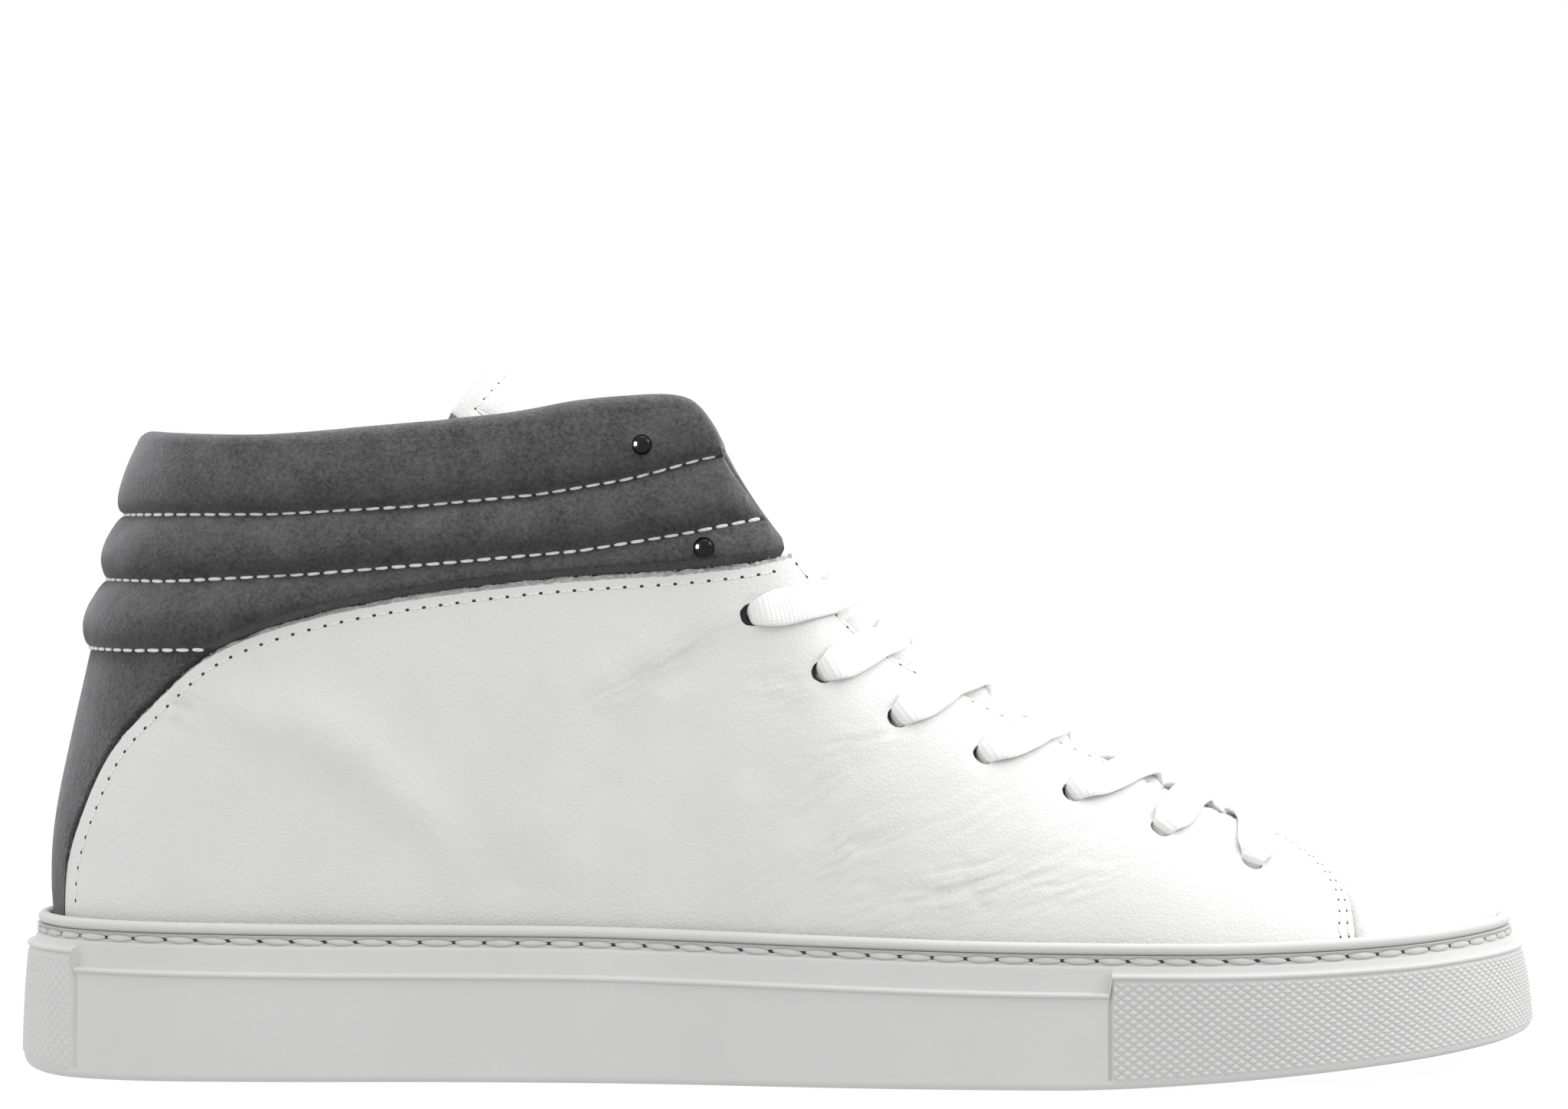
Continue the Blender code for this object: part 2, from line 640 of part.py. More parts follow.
def make_tongue():
    """Leather, foam and lining, each in a laced-down lower part and a free upper flap that bends at the hinge line."""
    across = np.linspace(-1, 1, 9)
    layers = (
        ("tongue_leather", 0.0, 1.2, 1.0, "white_leather"),
        ("tongue_foam", 1.7, 1.9, 0.93, "foam"),
        ("tongue_lining", 4.1, 0.9, 0.98, "lining_leather"),
    )
    steps = {"base": np.linspace(0.0, TONGUE_HINGE - 0.05, 12), "flap": np.linspace(0, 1, 5)}
    for part, depth, thickness, width, surface in layers:
        u, v = np.meshgrid(steps["base"], across, indexing="ij")
        lower_end = 0.0 if part == "tongue_leather" else 1.2
        u = lower_end + u * (1 - lower_end / u.max())
        sheet(part + "_base", tongue(u, -v * width, depth), thickness, surface)
        share, v = np.meshgrid(steps["flap"], across, indexing="ij")
        radius, half_angle = tongue_arch(TONGUE_HINGE)
        drop = radius * (1 - np.cos(v * half_angle)) + depth + thickness
        start = TONGUE_HINGE + 0.05 + drop * 0.42 / 20
        u = start + share * (TONGUE_END - (0.0 if depth == 0 else 0.12) - start)
        sheet(part + "_flap", tongue(u, -v * width, depth), thickness, surface)


# ---------------------------------------------------------------- studs and lace


def eyelet_places():
    places = {}
    near = (9.0, 0.85)
    for number, (x, z) in enumerate(EYELETS):
        near = locate(x, z, near=near)
        for side in (-1, 1):
            s, t = near if side < 0 else (STATIONS - near[0], near[1])
            places[side, number] = (upper(s, t), upper_frame(s, t)[0], s, t)
    return places


def stud_places():
    places = []
    for x, z in STUDS:
        s, t = locate(x, z, near=(7.0, 0.9))
        for side in (-1, 1):
            at = s if side < 0 else STATIONS - s
            places.append((side, upper(at, t), upper_frame(at, t)[0]))
    return places


def make_punches(eyelets):
    """Cutters for the seven punched eyelets of each side."""
    punches = {}
    for side, word in ((-1, "lateral"), (1, "medial")):
        bm = bmesh.new()
        for number in range(len(EYELETS)):
            point, normal = eyelets[side, number][:2]
            matrix = frame_at(point, normal)
            bmesh.ops.create_cone(
                bm,
                cap_ends=True,
                segments=8,
                radius1=EYELET_RADIUS * MM,
                radius2=EYELET_RADIUS * MM,
                depth=16 * MM,
                matrix=matrix,
            )
        mesh = bpy.data.meshes.new("eyelet_punch_" + word)
        bm.to_mesh(mesh)
        bm.free()
        made = bpy.data.objects.new(mesh.name, mesh)
        bpy.context.scene.collection.objects.link(made)
        punches[side] = as_cutter(made)
    return punches


def make_stud_holes(studs):
    bm = bmesh.new()
    for _, point, normal in studs:
        bmesh.ops.create_cone(
            bm,
            cap_ends=True,
            segments=8,
            radius1=1.35 * MM,
            radius2=1.35 * MM,
            depth=24 * MM,
            matrix=frame_at(point, normal),
        )
    mesh = bpy.data.meshes.new("stud_punch")
    bm.to_mesh(mesh)
    bm.free()
    made = bpy.data.objects.new("stud_punch", mesh)
    bpy.context.scene.collection.objects.link(made)
    return as_cutter(made)


def make_studs(studs):
    """Domed lace studs on the collar, each riveted to a washer inside the lining."""
    head_radius, shank, seat = 2.3, 0.95, COLLAR_PAD + 0.35
    washer_depth = 5.2 + LINING + 0.5
    profile = [(0, -washer_depth - 1.0), (shank, -washer_depth - 1.0), (shank, seat), (head_radius * 0.8, seat)]
    for turn in (0, 35, 65):
        angle = math.radians(turn)
        profile.append((head_radius * math.cos(angle), seat + 0.5 + head_radius * 0.85 * math.sin(angle)))
    profile.append((0, seat + 0.5 + head_radius * 0.85))
    ring = [(1.35, 0), (3.3, 0), (3.3, 0.6), (1.35, 0.6), (1.35, 0)]
    words = {-1: "lateral", 1: "medial"}
    for number, (side, point, normal) in enumerate(studs):
        row = "upper" if number < 2 else "lower"
        name = f"{words[side]}_{row}"
        turned("lace_stud_" + name, profile, frame_at(point, normal), "dark_chrome", steps=10)
        inside = point - normal * (washer_depth + 0.6)
        turned("stud_washer_" + name, ring, frame_at(inside, normal), "dark_chrome", steps=10)


def lace_visits():
    """The eyelets in the order the lace meets them, from the lateral top one down, along the bar and up again."""
    count = len(EYELETS)
    down = [(-1 if k % 2 == 0 else 1, k) for k in range(count)]
    return down + [(-side, k) for side, k in reversed(down)]


def lace_tail(side):
    """From the top eyelet down the inside of the quarter and forward under its lower edge."""
    s = np.array([8.1, 8.0, 7.9, 8.0, 8.5, 9.3, 10.2, 11.0])
    t = np.array([0.64, 0.5, 0.36, 0.22, 0.15, 0.13, 0.13, 0.14])
    depth = lining_depth(s) + LINING + LACE_RADIUS + np.array([0.6, 0.6, 0.6, 0.6, 1.2, 2.4, 4.0, 6.2])
    return layer(s if side < 0 else STATIONS - s, t, depth)


def lace_route(eyelets):
    """Points of the lace's centreline, inside tail to inside tail."""
    inside, outside = 5.9, 1.9
    visits = lace_visits()
    points = list(lace_tail(visits[0][0])[::-1])
    for index, (side, number) in enumerate(visits):
        going_down = index < len(EYELETS)
        point, normal = eyelets[side, number][:2]
        inner = [point - normal * inside, point - normal * 2.2]
        outer = [point + normal * outside]
        points += inner + outer if going_down else outer + inner[::-1]
        if index == len(EYELETS) - 1:
            here = layer(LACE_BAR if side < 0 else STATIONS - LACE_BAR, np.array([0.8, 1.0]), np.array([-2.0, -2.2]))
            crown = here[1] * (1, 0, 1) + np.array([0.2, 0, 0.6])
            points += [*here, crown, *(here[::-1] * (1, -1, 1))]
        elif index < len(visits) - 1:
            points += lace_crossing(eyelets, visits[index], visits[index + 1], going_down)
    points += list(lace_tail(visits[-1][0]))
    return np.array(points)


def lace_crossing(eyelets, start, end, going_down):
    """Points from one eyelet to the next one across: over the near edge, over the tongue and under the far edge."""
    side, number = start if going_down else end
    near, far = LACE_OVER[number], LACE_UNDER[number]
    _, _, s, t = eyelets[side, number]
    near = STATIONS - near if side > 0 else near
    over = layer(np.array([(s + near) / 2, near]), np.array([(t + 1) / 2, 1.0]), np.array([-2.1, -2.2]))
    far_depth = lining_depth(far) + LINING + LACE_RADIUS + 0.5
    far = np.array([far + 0.05, far - 0.12])
    under = list(layer(STATIONS - far if side < 0 else far, np.array([1.0, 0.9]), far_depth))
    u = LACE_CROSSINGS[number]
    on_top = side < 0
    height = -4.1 if on_top else -1.8
    found = [*over, tongue(u + 0.22, side * 0.5, -2.3), tongue(u, 0.0, height)]
    found += [tongue(u - 0.2, -side * 0.42, -2.2), *under]
    return found if going_down else found[::-1]


def make_lace(eyelets):
    route = lace_route(eyelets)
    at = np.linspace(0, len(route) - 1, (len(route) - 1) * 2 + 1)
    line = catmull(route, at)
    tube("shoelace", line, LACE_RADIUS, "white_cotton", sides=0)
    tip_length = 22.0
    for name, end, before in (("lace_tip_lateral", line[0], line[1]), ("lace_tip_medial", line[-1], line[-2])):
        direction = (end - before) / np.linalg.norm(end - before)
        profile = [(0, 0.4), (1.1, 0.4), (1.1, tip_length - 0.6), (0.7, tip_length), (0, tip_length)]
        turned(name, profile, frame_at(end, direction), "clear_plastic", steps=8)


def main():
    for old in list(bpy.data.objects):
        bpy.data.objects.remove(old)
    eyelets, studs = eyelet_places(), stud_places()
    punches, stud_holes = make_punches(eyelets), make_stud_holes(studs)
    make_cupsole()
    make_insides_of_sole()
    make_quarters(punches)
    make_vamp()
    make_collar(stud_holes)
    make_lining(punches, stud_holes)
    make_eyestays(punches)
    make_tongue()
    make_studs(studs)
    make_lace(eyelets)


main()
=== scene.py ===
import json
import math

import bmesh
import bpy
import numpy as np
from mathutils import Matrix, Vector


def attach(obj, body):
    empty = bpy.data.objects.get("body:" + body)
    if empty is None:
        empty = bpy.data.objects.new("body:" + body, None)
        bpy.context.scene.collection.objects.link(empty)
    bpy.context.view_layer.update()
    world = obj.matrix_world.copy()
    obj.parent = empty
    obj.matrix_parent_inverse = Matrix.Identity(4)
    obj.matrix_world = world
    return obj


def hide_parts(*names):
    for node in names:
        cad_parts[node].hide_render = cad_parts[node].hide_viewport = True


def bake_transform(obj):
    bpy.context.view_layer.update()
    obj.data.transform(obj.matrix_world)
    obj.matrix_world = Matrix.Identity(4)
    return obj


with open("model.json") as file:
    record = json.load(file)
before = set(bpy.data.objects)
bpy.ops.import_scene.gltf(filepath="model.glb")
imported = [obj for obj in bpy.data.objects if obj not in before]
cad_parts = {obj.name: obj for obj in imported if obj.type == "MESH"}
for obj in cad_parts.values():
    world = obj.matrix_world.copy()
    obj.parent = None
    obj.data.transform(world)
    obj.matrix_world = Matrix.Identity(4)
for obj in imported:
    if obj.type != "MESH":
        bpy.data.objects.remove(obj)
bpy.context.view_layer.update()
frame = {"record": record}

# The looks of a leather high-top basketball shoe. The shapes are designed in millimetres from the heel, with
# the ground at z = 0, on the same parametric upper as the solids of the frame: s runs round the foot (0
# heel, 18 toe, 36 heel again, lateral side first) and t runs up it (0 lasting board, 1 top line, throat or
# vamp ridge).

MM = 0.001
SOLE_LENGTH = 302.0
CENTRE_X = SOLE_LENGTH / 2
STATIONS, TOE = 36, 18
FEATHER_INSET = 7.2
CUP_WALL = 5.2
LEATHER = 1.5
LINING = 0.8
MM_PER_T = 75  # roughly, along the surface near the top of the upper
COLLAR_PAD = 3.0
ROLL_RADIUS = 3.3
EYELET_RADIUS = 2.2
LACE_WIDTH, LACE_THICKNESS = 7.4, 1.5
STITCH_PITCH = 3.3
# Length and width of the near-black discs at the stitch ends, which paint the shade of the needle holes.
HOLE_SHADE_SIZE = (0.75, 0.6)
RAW_EDGE = 0.9
SOLE_STITCH_PITCH = 6.2
STITCH_DEPTH, BAND_DEPTH = 3.3, 9.6  # below the sole's lip
PATCH_RISE = 3.6  # how much higher the textured patches of toe and heel reach
DIAMOND = (2.3, 1.75)

# Sole outline x, lateral and medial half-width; top line x, half-width, z; how the side leaves the top line
# (x, outwards, down); how high its lower tangent rises.
STATION_ROWS = (
    (0.0, 0.0, 0.0, 24.0, 0.0, 123.8, -10.0, 0.0, 36.0, 32.0),
    (2.5, 15.0, 15.0, 27.0, 14.0, 123.4, -9.0, 0.5, 36.0, 32.0),
    (11.0, 28.0, 28.0, 36.0, 25.0, 122.6, -8.0, 1.0, 36.0, 32.0),
    (27.0, 36.0, 36.0, 52.0, 32.0, 122.4, -7.0, 1.5, 36.0, 32.0),
    (52.0, 38.5, 38.0, 72.0, 35.0, 123.8, -5.0, 1.0, 37.0, 32.0),
    (82.0, 38.5, 36.5, 96.0, 36.0, 126.0, -3.0, 0.5, 38.0, 32.0),
    (110.0, 40.0, 36.5, 117.0, 35.5, 129.2, -1.0, 0.0, 38.0, 32.0),
    (132.0, 43.0, 39.0, 131.0, 34.5, 127.4, 1.0, 1.0, 36.0, 32.0),
    (148.0, 46.5, 42.0, 141.8, 33.0, 116.0, 3.0, 3.5, 28.0, 31.0),
    (163.0, 49.5, 45.5, 153.5, 30.0, 102.6, 3.5, 9.0, 20.0, 29.0),
    (178.0, 51.8, 48.8, 167.0, 25.5, 86.5, 4.0, 13.0, 10.0, 28.0),
    (200.0, 53.8, 52.6, 189.0, 21.5, 73.6, 4.0, 14.5, 4.5, 25.0),
    (222.0, 54.0, 54.0, 210.0, 18.0, 63.5, 4.5, 14.5, 3.0, 22.0),
    (243.0, 51.5, 52.5, 232.0, 13.5, 53.5, 5.0, 14.0, 2.0, 19.0),
    (262.0, 46.0, 47.8, 249.0, 8.0, 46.5, 5.0, 15.0, 1.0, 17.0),
    (278.0, 38.0, 40.5, 256.0, 0.0, 43.6, 4.0, 17.0, 0.6, 16.0),
    (291.0, 26.0, 29.5, 264.0, 0.0, 42.7, 5.0, 16.0, 0.8, 16.0),
    (299.0, 12.0, 16.0, 272.0, 0.0, 41.4, 9.0, 10.0, 1.8, 16.0),
    (302.0, -2.0, 2.0, 280.0, 0.0, 39.8, 12.0, 0.0, 2.4, 16.0),
)

# Side-view lines, as (x, z).
COLLAR_SEAM = (
    (10.2, 20.0),
    (10.0, 31.5),
    (10.6, 41.0),
    (13.8, 51.0),
    (19.7, 63.0),
    (28.0, 72.3),
    (42.5, 83.9),
    (66.3, 91.6),
    (100.0, 96.6),
    (130.0, 98.8),
    (136.5, 99.4),
    (143.0, 100.1),
    (148.0, 100.9),
    (153.3, 102.2),
)
VAMP_SEAM = ((262.2, 18.0), (262.4, 30.0), (262.0, 36.0), (259.5, 40.0), (254.5, 44.0))
QUILT_ROWS = (
    ((19.3, 109.8), (52.5, 109.8), (79.6, 111.3), (103.9, 113.6), (123.2, 116.8), (134.5, 119.1),
     (146, 121.4)),
    ((16.0, 97.0), (31.5, 96.7), (60.0, 98.2), (86.5, 100.4), (112.0, 102.7), (134.6, 106.3), (150, 109.2)),
    ((13.4, 83.4), (25.1, 83.2), (39.5, 83.5), (60.0, 84.5), (150.0, 88.0)),
)
QUILT_ENDS = (8.45, 8.7, 2.9)  # the station where each row's stitches stop
EYELETS = (
    (145.7, 90.4),
    (159.6, 79.4),
    (174.2, 70.6),
    (190.8, 63.4),
    (208.2, 56.2),
    (225.4, 49.0),
    (243.2, 42.4),
)
STUDS = ((124.4, 123.2), (136.4, 103.2))
TONGUE_LINE = (
    (264.0, 36.4),
    (256.0, 38.0),
    (244.0, 43.9),
    (228.0, 54.4),
    (208.0, 64.6),
    (188.0, 76.0),
    (172.0, 87.6),
    (158.0, 98.6),
    (142.0, 110.4),
    (124.0, 122.4),
    (108.0, 132.6),
    (96.0, 141.8),
)
TONGUE_HINGE = 7.35
TONGUE_END = len(TONGUE_LINE) - 1
LACE_CROSSINGS = (6.68, 5.88, 4.95, 4.15, 3.25, 2.5)
LACE_OVER = (9.56, 10.15, 10.78, 11.62, 12.42, 12.98)
LACE_BAR = 13.7
LACE_BRIDGE = {-1: 1.3, 1: 0.2}  # how far the lace rises past the lateral and the medial throat edge
# Worn-in leather: folds as (side-view line, half-width, height).
FOLDS = (
    (((40, 69), (46, 71), (58, 70), (70, 63), (82, 51), (92, 37)), 6.0, 1.5),
    (((145, 88), (135, 82), (125.5, 77), (121.7, 66), (117, 54), (113, 42)), 3.8, -1.5),
    (((133, 88), (120, 80), (110.7, 74), (107, 62), (103, 47), (101, 38)), 6.5, 1.3),
    (((158, 76), (149, 65), (143, 54)), 3.0, -0.6),
    (((172, 66), (160, 56), (152, 45)), 3.5, -0.5),
)
# Bands of fine wrinkles: centre, reach along and across, direction in degrees, spacing, depth.
WRINKLES = (
    ((34, 71), (13, 6), -28, 1.5, 0.3),
    ((46, 78), (12, 4), -50, 1.4, 0.18),
    ((124, 78), (17, 2.6), 31, 1.35, 0.4),
    ((119, 64), (10, 2.8), 68, 1.3, 0.28),
    ((138, 84), (9, 3), 24, 1.2, 0.22),
    ((152, 76), (9, 5), 12, 1.3, 0.24),
    ((168, 66), (12, 4), 14, 1.3, 0.2),
    ((158, 57), (10, 6), 30, 1.3, 0.2),
    ((166, 44), (17, 7), 27, 1.35, 0.42),
    ((184, 38), (18, 5.5), 16, 1.25, 0.42),
    ((204, 40), (14, 7), 20, 1.3, 0.26),
    ((188, 52), (14, 5), 24, 1.3, 0.2),
    ((84, 52), (11, 2.5), -50, 1.4, 0.14),
)


# ---------------------------------------------------------------- the upper's surface


def around(name):
    """One column group of STATION_ROWS for all 36 stations, its sideways values signed for each side."""
    table = []
    for station in range(STATIONS):
        lateral = station <= TOE
        row = STATION_ROWS[station if lateral else STATIONS - station]
        side = -1.0 if lateral else 1.0
        groups = {
            "outline": (row[0], side * (row[1] if lateral else row[2])),
            "top": (row[3], side * row[4], row[5]),
            "leave": (row[6], side * row[7], -row[8]),
            "rise": (row[9],),
        }
        table.append(groups[name])
    return np.array(table, float)


OUTLINE, TOP, LEAVE, RISE = (around(name) for name in ("outline", "top", "leave", "rise"))


def catmull(points, at, closed=False):
    """Catmull-Rom values at the fractional indices of an array of points."""
    points, at = np.asarray(points, float), np.asarray(at, float)
    count = len(points)
    whole = np.floor(at).astype(int) if closed else np.clip(np.floor(at).astype(int), 0, count - 2)
    part = (at - whole)[..., None]

    def pick(step):
        index = whole + step
        if closed:
            return points[index % count]
        inside = points[np.clip(index, 0, count - 1)]
        before = (2 * points[0] - points[1]) * (index < 0)[..., None]
        after = (2 * points[-1] - points[-2]) * (index >= count)[..., None]
        return np.where((index < 0)[..., None], before, np.where((index >= count)[..., None], after, inside))

    a, b, c, d = (pick(step) for step in (-1, 0, 1, 2))
    return b + 0.5 * part * (c - a + part * (2 * a - 5 * b + 4 * c - d + part * (3 * (b - c) + d - a)))


def along(points, spacing):
    """A smooth curve through points, resampled evenly."""
    points = np.asarray(points, float)
    fine = catmull(points, np.linspace(0, len(points) - 1, 40 * len(points)))
    run = np.concatenate([[0], np.cumsum(np.linalg.norm(np.diff(fine, axis=0), axis=1))])
    marks = np.linspace(0, run[-1], max(2, int(round(run[-1] / spacing)) + 1))
    return np.stack([np.interp(marks, run, fine[:, k]) for k in range(fine.shape[1])], -1)


def outline(s, inset=0.0):
    """The sole's outline moved inwards by inset, and its outward direction: (x, y) points."""
    step = 0.02
    s = np.asarray(s, float)
    run = catmull(OUTLINE, s + step, True) - catmull(OUTLINE, s - step, True)
    out = np.stack([run[..., 1], -run[..., 0]], -1)
    out /= np.linalg.norm(out, axis=-1, keepdims=True)
    return catmull(OUTLINE, s, True) - out * np.asarray(inset, float)[..., None], out


def last_bottom(x):
    return np.interp(x, (0, 60, 110, 155, 200, 240, 275, 302), (20, 19.8, 18.4, 15.2, 12.6, 13.2, 15.4, 18))


def cup_floor(x):
    return np.interp(x, (0, 80, 155, 200, 240, 275, 302), (8, 8, 6.8, 6, 7.4, 9.8, 12.4))


def cup_top(x):
    xs, zs = (0, 60, 115, 190, 240, 270, 302), (31.2, 30.4, 30.2, 28.2, 27.7, 28.5, 30.6)
    around_x = [np.interp(np.asarray(x) + shift, xs, zs) for shift in (-10, -5, 0, 5, 10)]
    return sum(around_x) / len(around_x)


def cup_bottom(x):
    spring_start, spring_length, spring_height = 205.0, 97.0, 7.5
    return spring_height * (np.clip(np.asarray(x, float) - spring_start, 0, None) / spring_length) ** 1.5


def upper(s, t):
    """Points of the outer face of the upper."""
    s, t = np.broadcast_arrays(np.asarray(s, float), np.asarray(t, float))
    foot, out = outline(s, FEATHER_INSET)
    start = np.concatenate([foot, last_bottom(foot[..., 0])[..., None]], -1)
    lower = start.copy()
    lower[..., :2] += out * 4.2
    lower[..., 2] += catmull(RISE, s, True)[..., 0]
    end = catmull(TOP, s, True)
    lateral = s % STATIONS <= TOE
    end[..., 1] = np.where(lateral, np.minimum(end[..., 1], 0), np.maximum(end[..., 1], 0))
    higher = end + catmull(LEAVE, s, True)
    w = t[..., None]
    v = 1 - w
    return v**3 * start + 3 * v * v * w * lower + 3 * v * w * w * higher + w**3 * end


def unit(v):
    return v / np.linalg.norm(v, axis=-1, keepdims=True)


def upper_frame(s, t):
    """(outward normal, direction along the surface towards larger t)."""
    step = 0.01
    s, t = np.broadcast_arrays(np.asarray(s, float), np.asarray(t, float))
    t = np.clip(t, step, 0.975)
    up = upper(s, t + step) - upper(s, t - step)
    normal = np.cross(upper(s + step, t) - upper(s - step, t), up)
    return unit(normal), unit(up)


def layer(s, t, depth=0.0):
    """Points depth below the outer face. On the vamp's ridge both sides give the same point."""
    s, t, depth = np.broadcast_arrays(*(np.asarray(v, float) for v in (s, t, depth)))
    normal = upper_frame(s, t)[0]
    both = normal + upper_frame(STATIONS - s, t)[0]
    both[..., 1] = 0
    both = unit(both + 1e-12)
    toewards = np.clip((3.3 - abs(s % STATIONS - TOE)) / 0.3, 0, 1)
    share = (toewards * np.clip((t - 0.9) / 0.1, 0, 1) ** 2)[..., None]
    normal = unit(normal * (1 - share) + both * share)
    return upper(s, t) - normal * depth[..., None]


MID_X = (np.array(STATION_ROWS)[:, 0] + np.array(STATION_ROWS)[:, 3]) / 2


def locate(x, z):
    """The (s, t) of the lateral face at side-view places, by Newton's method."""
    x, z = np.asarray(x, float), np.asarray(z, float)
    s = np.maximum(np.interp(x, MID_X, np.arange(TOE + 1)), 1.2)
    t = np.full_like(s, 0.55)
    step = 1e-3
    for _ in range(30):
        here, more_s, more_t = (upper(*p)[..., [0, 2]] for p in ((s, t), (s + step, t), (s, t + step)))
        ds, dt = (more_s - here) / step, (more_t - here) / step
        gap_x, gap_z = x - here[..., 0], z - here[..., 1]
        area = ds[..., 0] * dt[..., 1] - ds[..., 1] * dt[..., 0]
        s = s + np.clip((gap_x * dt[..., 1] - gap_z * dt[..., 0]) / area, -0.7, 0.7)
        t = np.clip(t + np.clip((ds[..., 0] * gap_z - ds[..., 1] * gap_x) / area, -0.2, 0.2), 0, 1)
    return s, t


def row_t(s, line):
    """The t at each station where the surface meets a side-view line that runs along the shoe."""
    line = np.array(line, float)
    s = np.asarray(s, float)
    t = np.full_like(s, 0.7)
    for _ in range(25):
        here = upper(s, t)
        slope = (upper(s, t + 1e-3)[..., 2] - here[..., 2]) / 1e-3
        goal = np.interp(here[..., 0], line[:, 0], line[:, 1])
        t = np.clip(t + np.clip((goal - here[..., 2]) / slope, -0.1, 0.1), 0, 1)
    return t


def on(side, s):
    """The station of a side, -1 lateral or 1 medial, that matches a lateral station."""
    return s if side < 0 else STATIONS - s


def one_side(s):
    """The lateral station that matches a station of either side."""
    s = np.asarray(s, float)
    return np.minimum(s % STATIONS, (-s) % STATIONS)


def mirrored(points):
    return np.asarray(points) * (1, -1, 1)


seam = np.array(COLLAR_SEAM)
SEAM_S, SEAM_T = locate(*along(seam, 1.5).T)
SEAM_S = np.maximum.accumulate(SEAM_S) + np.linspace(0, 0.002, len(SEAM_S))
VAMP_S, VAMP_T = locate(*np.array(VAMP_SEAM).T)


def collar_edge_t(s):
    """Where the collar starts, below, at the station s of either side."""
    return np.interp(one_side(s), SEAM_S, SEAM_T, left=0.0)


def vamp_edge_s(t):
    return np.interp(t, VAMP_T, VAMP_S)


def lining_depth(s):
    return np.interp(one_side(s), (7, 9, 13, 13.8), (5.2, 3.3, 3.3, 3.8))


# ---------------------------------------------------------------- numbers over surfaces


def noise(points, size, seed=0):
    """Smooth noise from -1 to 1, with features of that size in mm."""
    p = np.asarray(points, float) / size + 11.7 * (seed + 1)
    cell = np.floor(p).astype(np.int64)
    part = p - cell
    part = part * part * (3 - 2 * part)
    total = 0.0
    for corner in np.ndindex(2, 2, 2):
        c = cell + np.array(corner)
        h = c[..., 0] * 374761393 + c[..., 1] * 668265263 + c[..., 2] * 1274126177 + seed * 974711
        h = h & 0x7FFFFFFF
        h = ((h ^ (h >> 13)) * 1103515245) & 0x7FFFFFFF
        value = ((h ^ (h >> 16)) % 4096) / 2047.5 - 1
        total = total + value * np.prod(np.where(corner, part, 1 - part), -1)
    return total


def distance_to(points, line):
    """Distance of 2-D points from a polyline, and how far along it the nearest place is, from 0 to 1."""
    best = np.full(points.shape[:-1], 1e9)
    place = np.zeros(points.shape[:-1])
    line = np.asarray(line, float)
    for k, (a, b) in enumerate(zip(line, line[1:])):
        share = np.clip(((points - a) @ (b - a)) / ((b - a) @ (b - a)), 0, 1)
        gap = np.linalg.norm(points - a - share[..., None] * (b - a), axis=-1)
        closer = gap < best
        best, place = np.where(closer, gap, best), np.where(closer, (k + share) / (len(line) - 1), place)
    return best, place


def leather_relief(points):
    """Height of the side panels' leather above the surface: folds, fine wrinkles and pulled-in eyelets."""
    flat = points[..., [0, 2]]
    height = 0.3 * noise(points, 24, 1) + 0.07 * noise(points, 7, 2)
    wobble = np.stack([noise(points, 15, 3), noise(points, 15, 4)], -1) * 1.4
    bends = np.stack([noise(points, 6, 5), noise(points, 6, 6)], -1) * 0.4
    for line, width, high in FOLDS:
        away, along_line = distance_to(flat + wobble, line)
        fade = np.clip(np.minimum(along_line, 1 - along_line) * 4, 0, 1)
        height += high * fade * np.exp(-((away / width) ** 2))
    for number, (centre, (reach, across), degrees, spacing, depth) in enumerate(WRINKLES):
        turn = math.radians(degrees)
        gap = flat + 0.8 * wobble + bends - centre
        run = gap @ (math.cos(turn), math.sin(turn))
        side = gap @ (-math.sin(turn), math.cos(turn))
        place = np.exp(-((run / reach) ** 2) - (side / across) ** 2)
        lines, finer = (
            1 - abs(noise(np.stack([run / long, side / apart, 0 * run], -1), 1.0, seed + number)) * 2.4
            for long, apart, seed in ((9.0, spacing, 70), (6.0, 0.6 * spacing, 110))
        )
        strength = np.clip(0.65 + 0.45 * noise(points, 9, 90 + number), 0, 1)
        height -= depth * place * strength * (np.clip(lines, -0.2, 1) + 0.5 * np.clip(finer, -0.2, 1))
    for x, z in EYELETS:
        away = np.linalg.norm(flat - (x, z), axis=-1)
        height -= 0.3 * np.exp(-((np.maximum(away - EYELET_RADIUS * 0.8, 0) / 1.6) ** 2))
    return height


# ---------------------------------------------------------------- objects


def place(points):
    """Millimetres from the heel to metres in the frame."""
    return (np.asarray(points, float).reshape(-1, 3) - (CENTRE_X, 0, 0)) * MM


def mesh_object(name, points, faces, *surfaces, uv=None, weld=0.0, sharp=40):
    """A smooth-shaded mesh from points in mm. uv gives one (u, v) for each point."""
    mesh = bpy.data.meshes.new(name)
    faces = np.asarray(faces)
    mesh.from_pydata(place(points).tolist(), [], faces.tolist())
    if uv is not None:
        corners = np.empty(len(mesh.loops), np.int32)
        mesh.loops.foreach_get("vertex_index", corners)
        layer_uv = mesh.uv_layers.new(name="UVMap")
        layer_uv.data.foreach_set("uv", np.asarray(uv, np.float32).reshape(-1, 2)[corners].ravel())
    if weld:
        merge(mesh, weld)
    mesh.shade_smooth()
    mesh.set_sharp_from_angle(angle=math.radians(sharp))
    made = bpy.data.objects.new(name, mesh)
    bpy.context.scene.collection.objects.link(made)
    for surface in surfaces:
        mesh.materials.append(MATERIALS[surface])
    return made


def merge(mesh, distance):
    bm = bmesh.new()
    bm.from_mesh(mesh)
    bmesh.ops.remove_doubles(bm, verts=bm.verts, dist=distance * MM)
    bmesh.ops.dissolve_degenerate(bm, edges=bm.edges, dist=0.002 * MM)
    bm.to_mesh(mesh)
    bm.free()


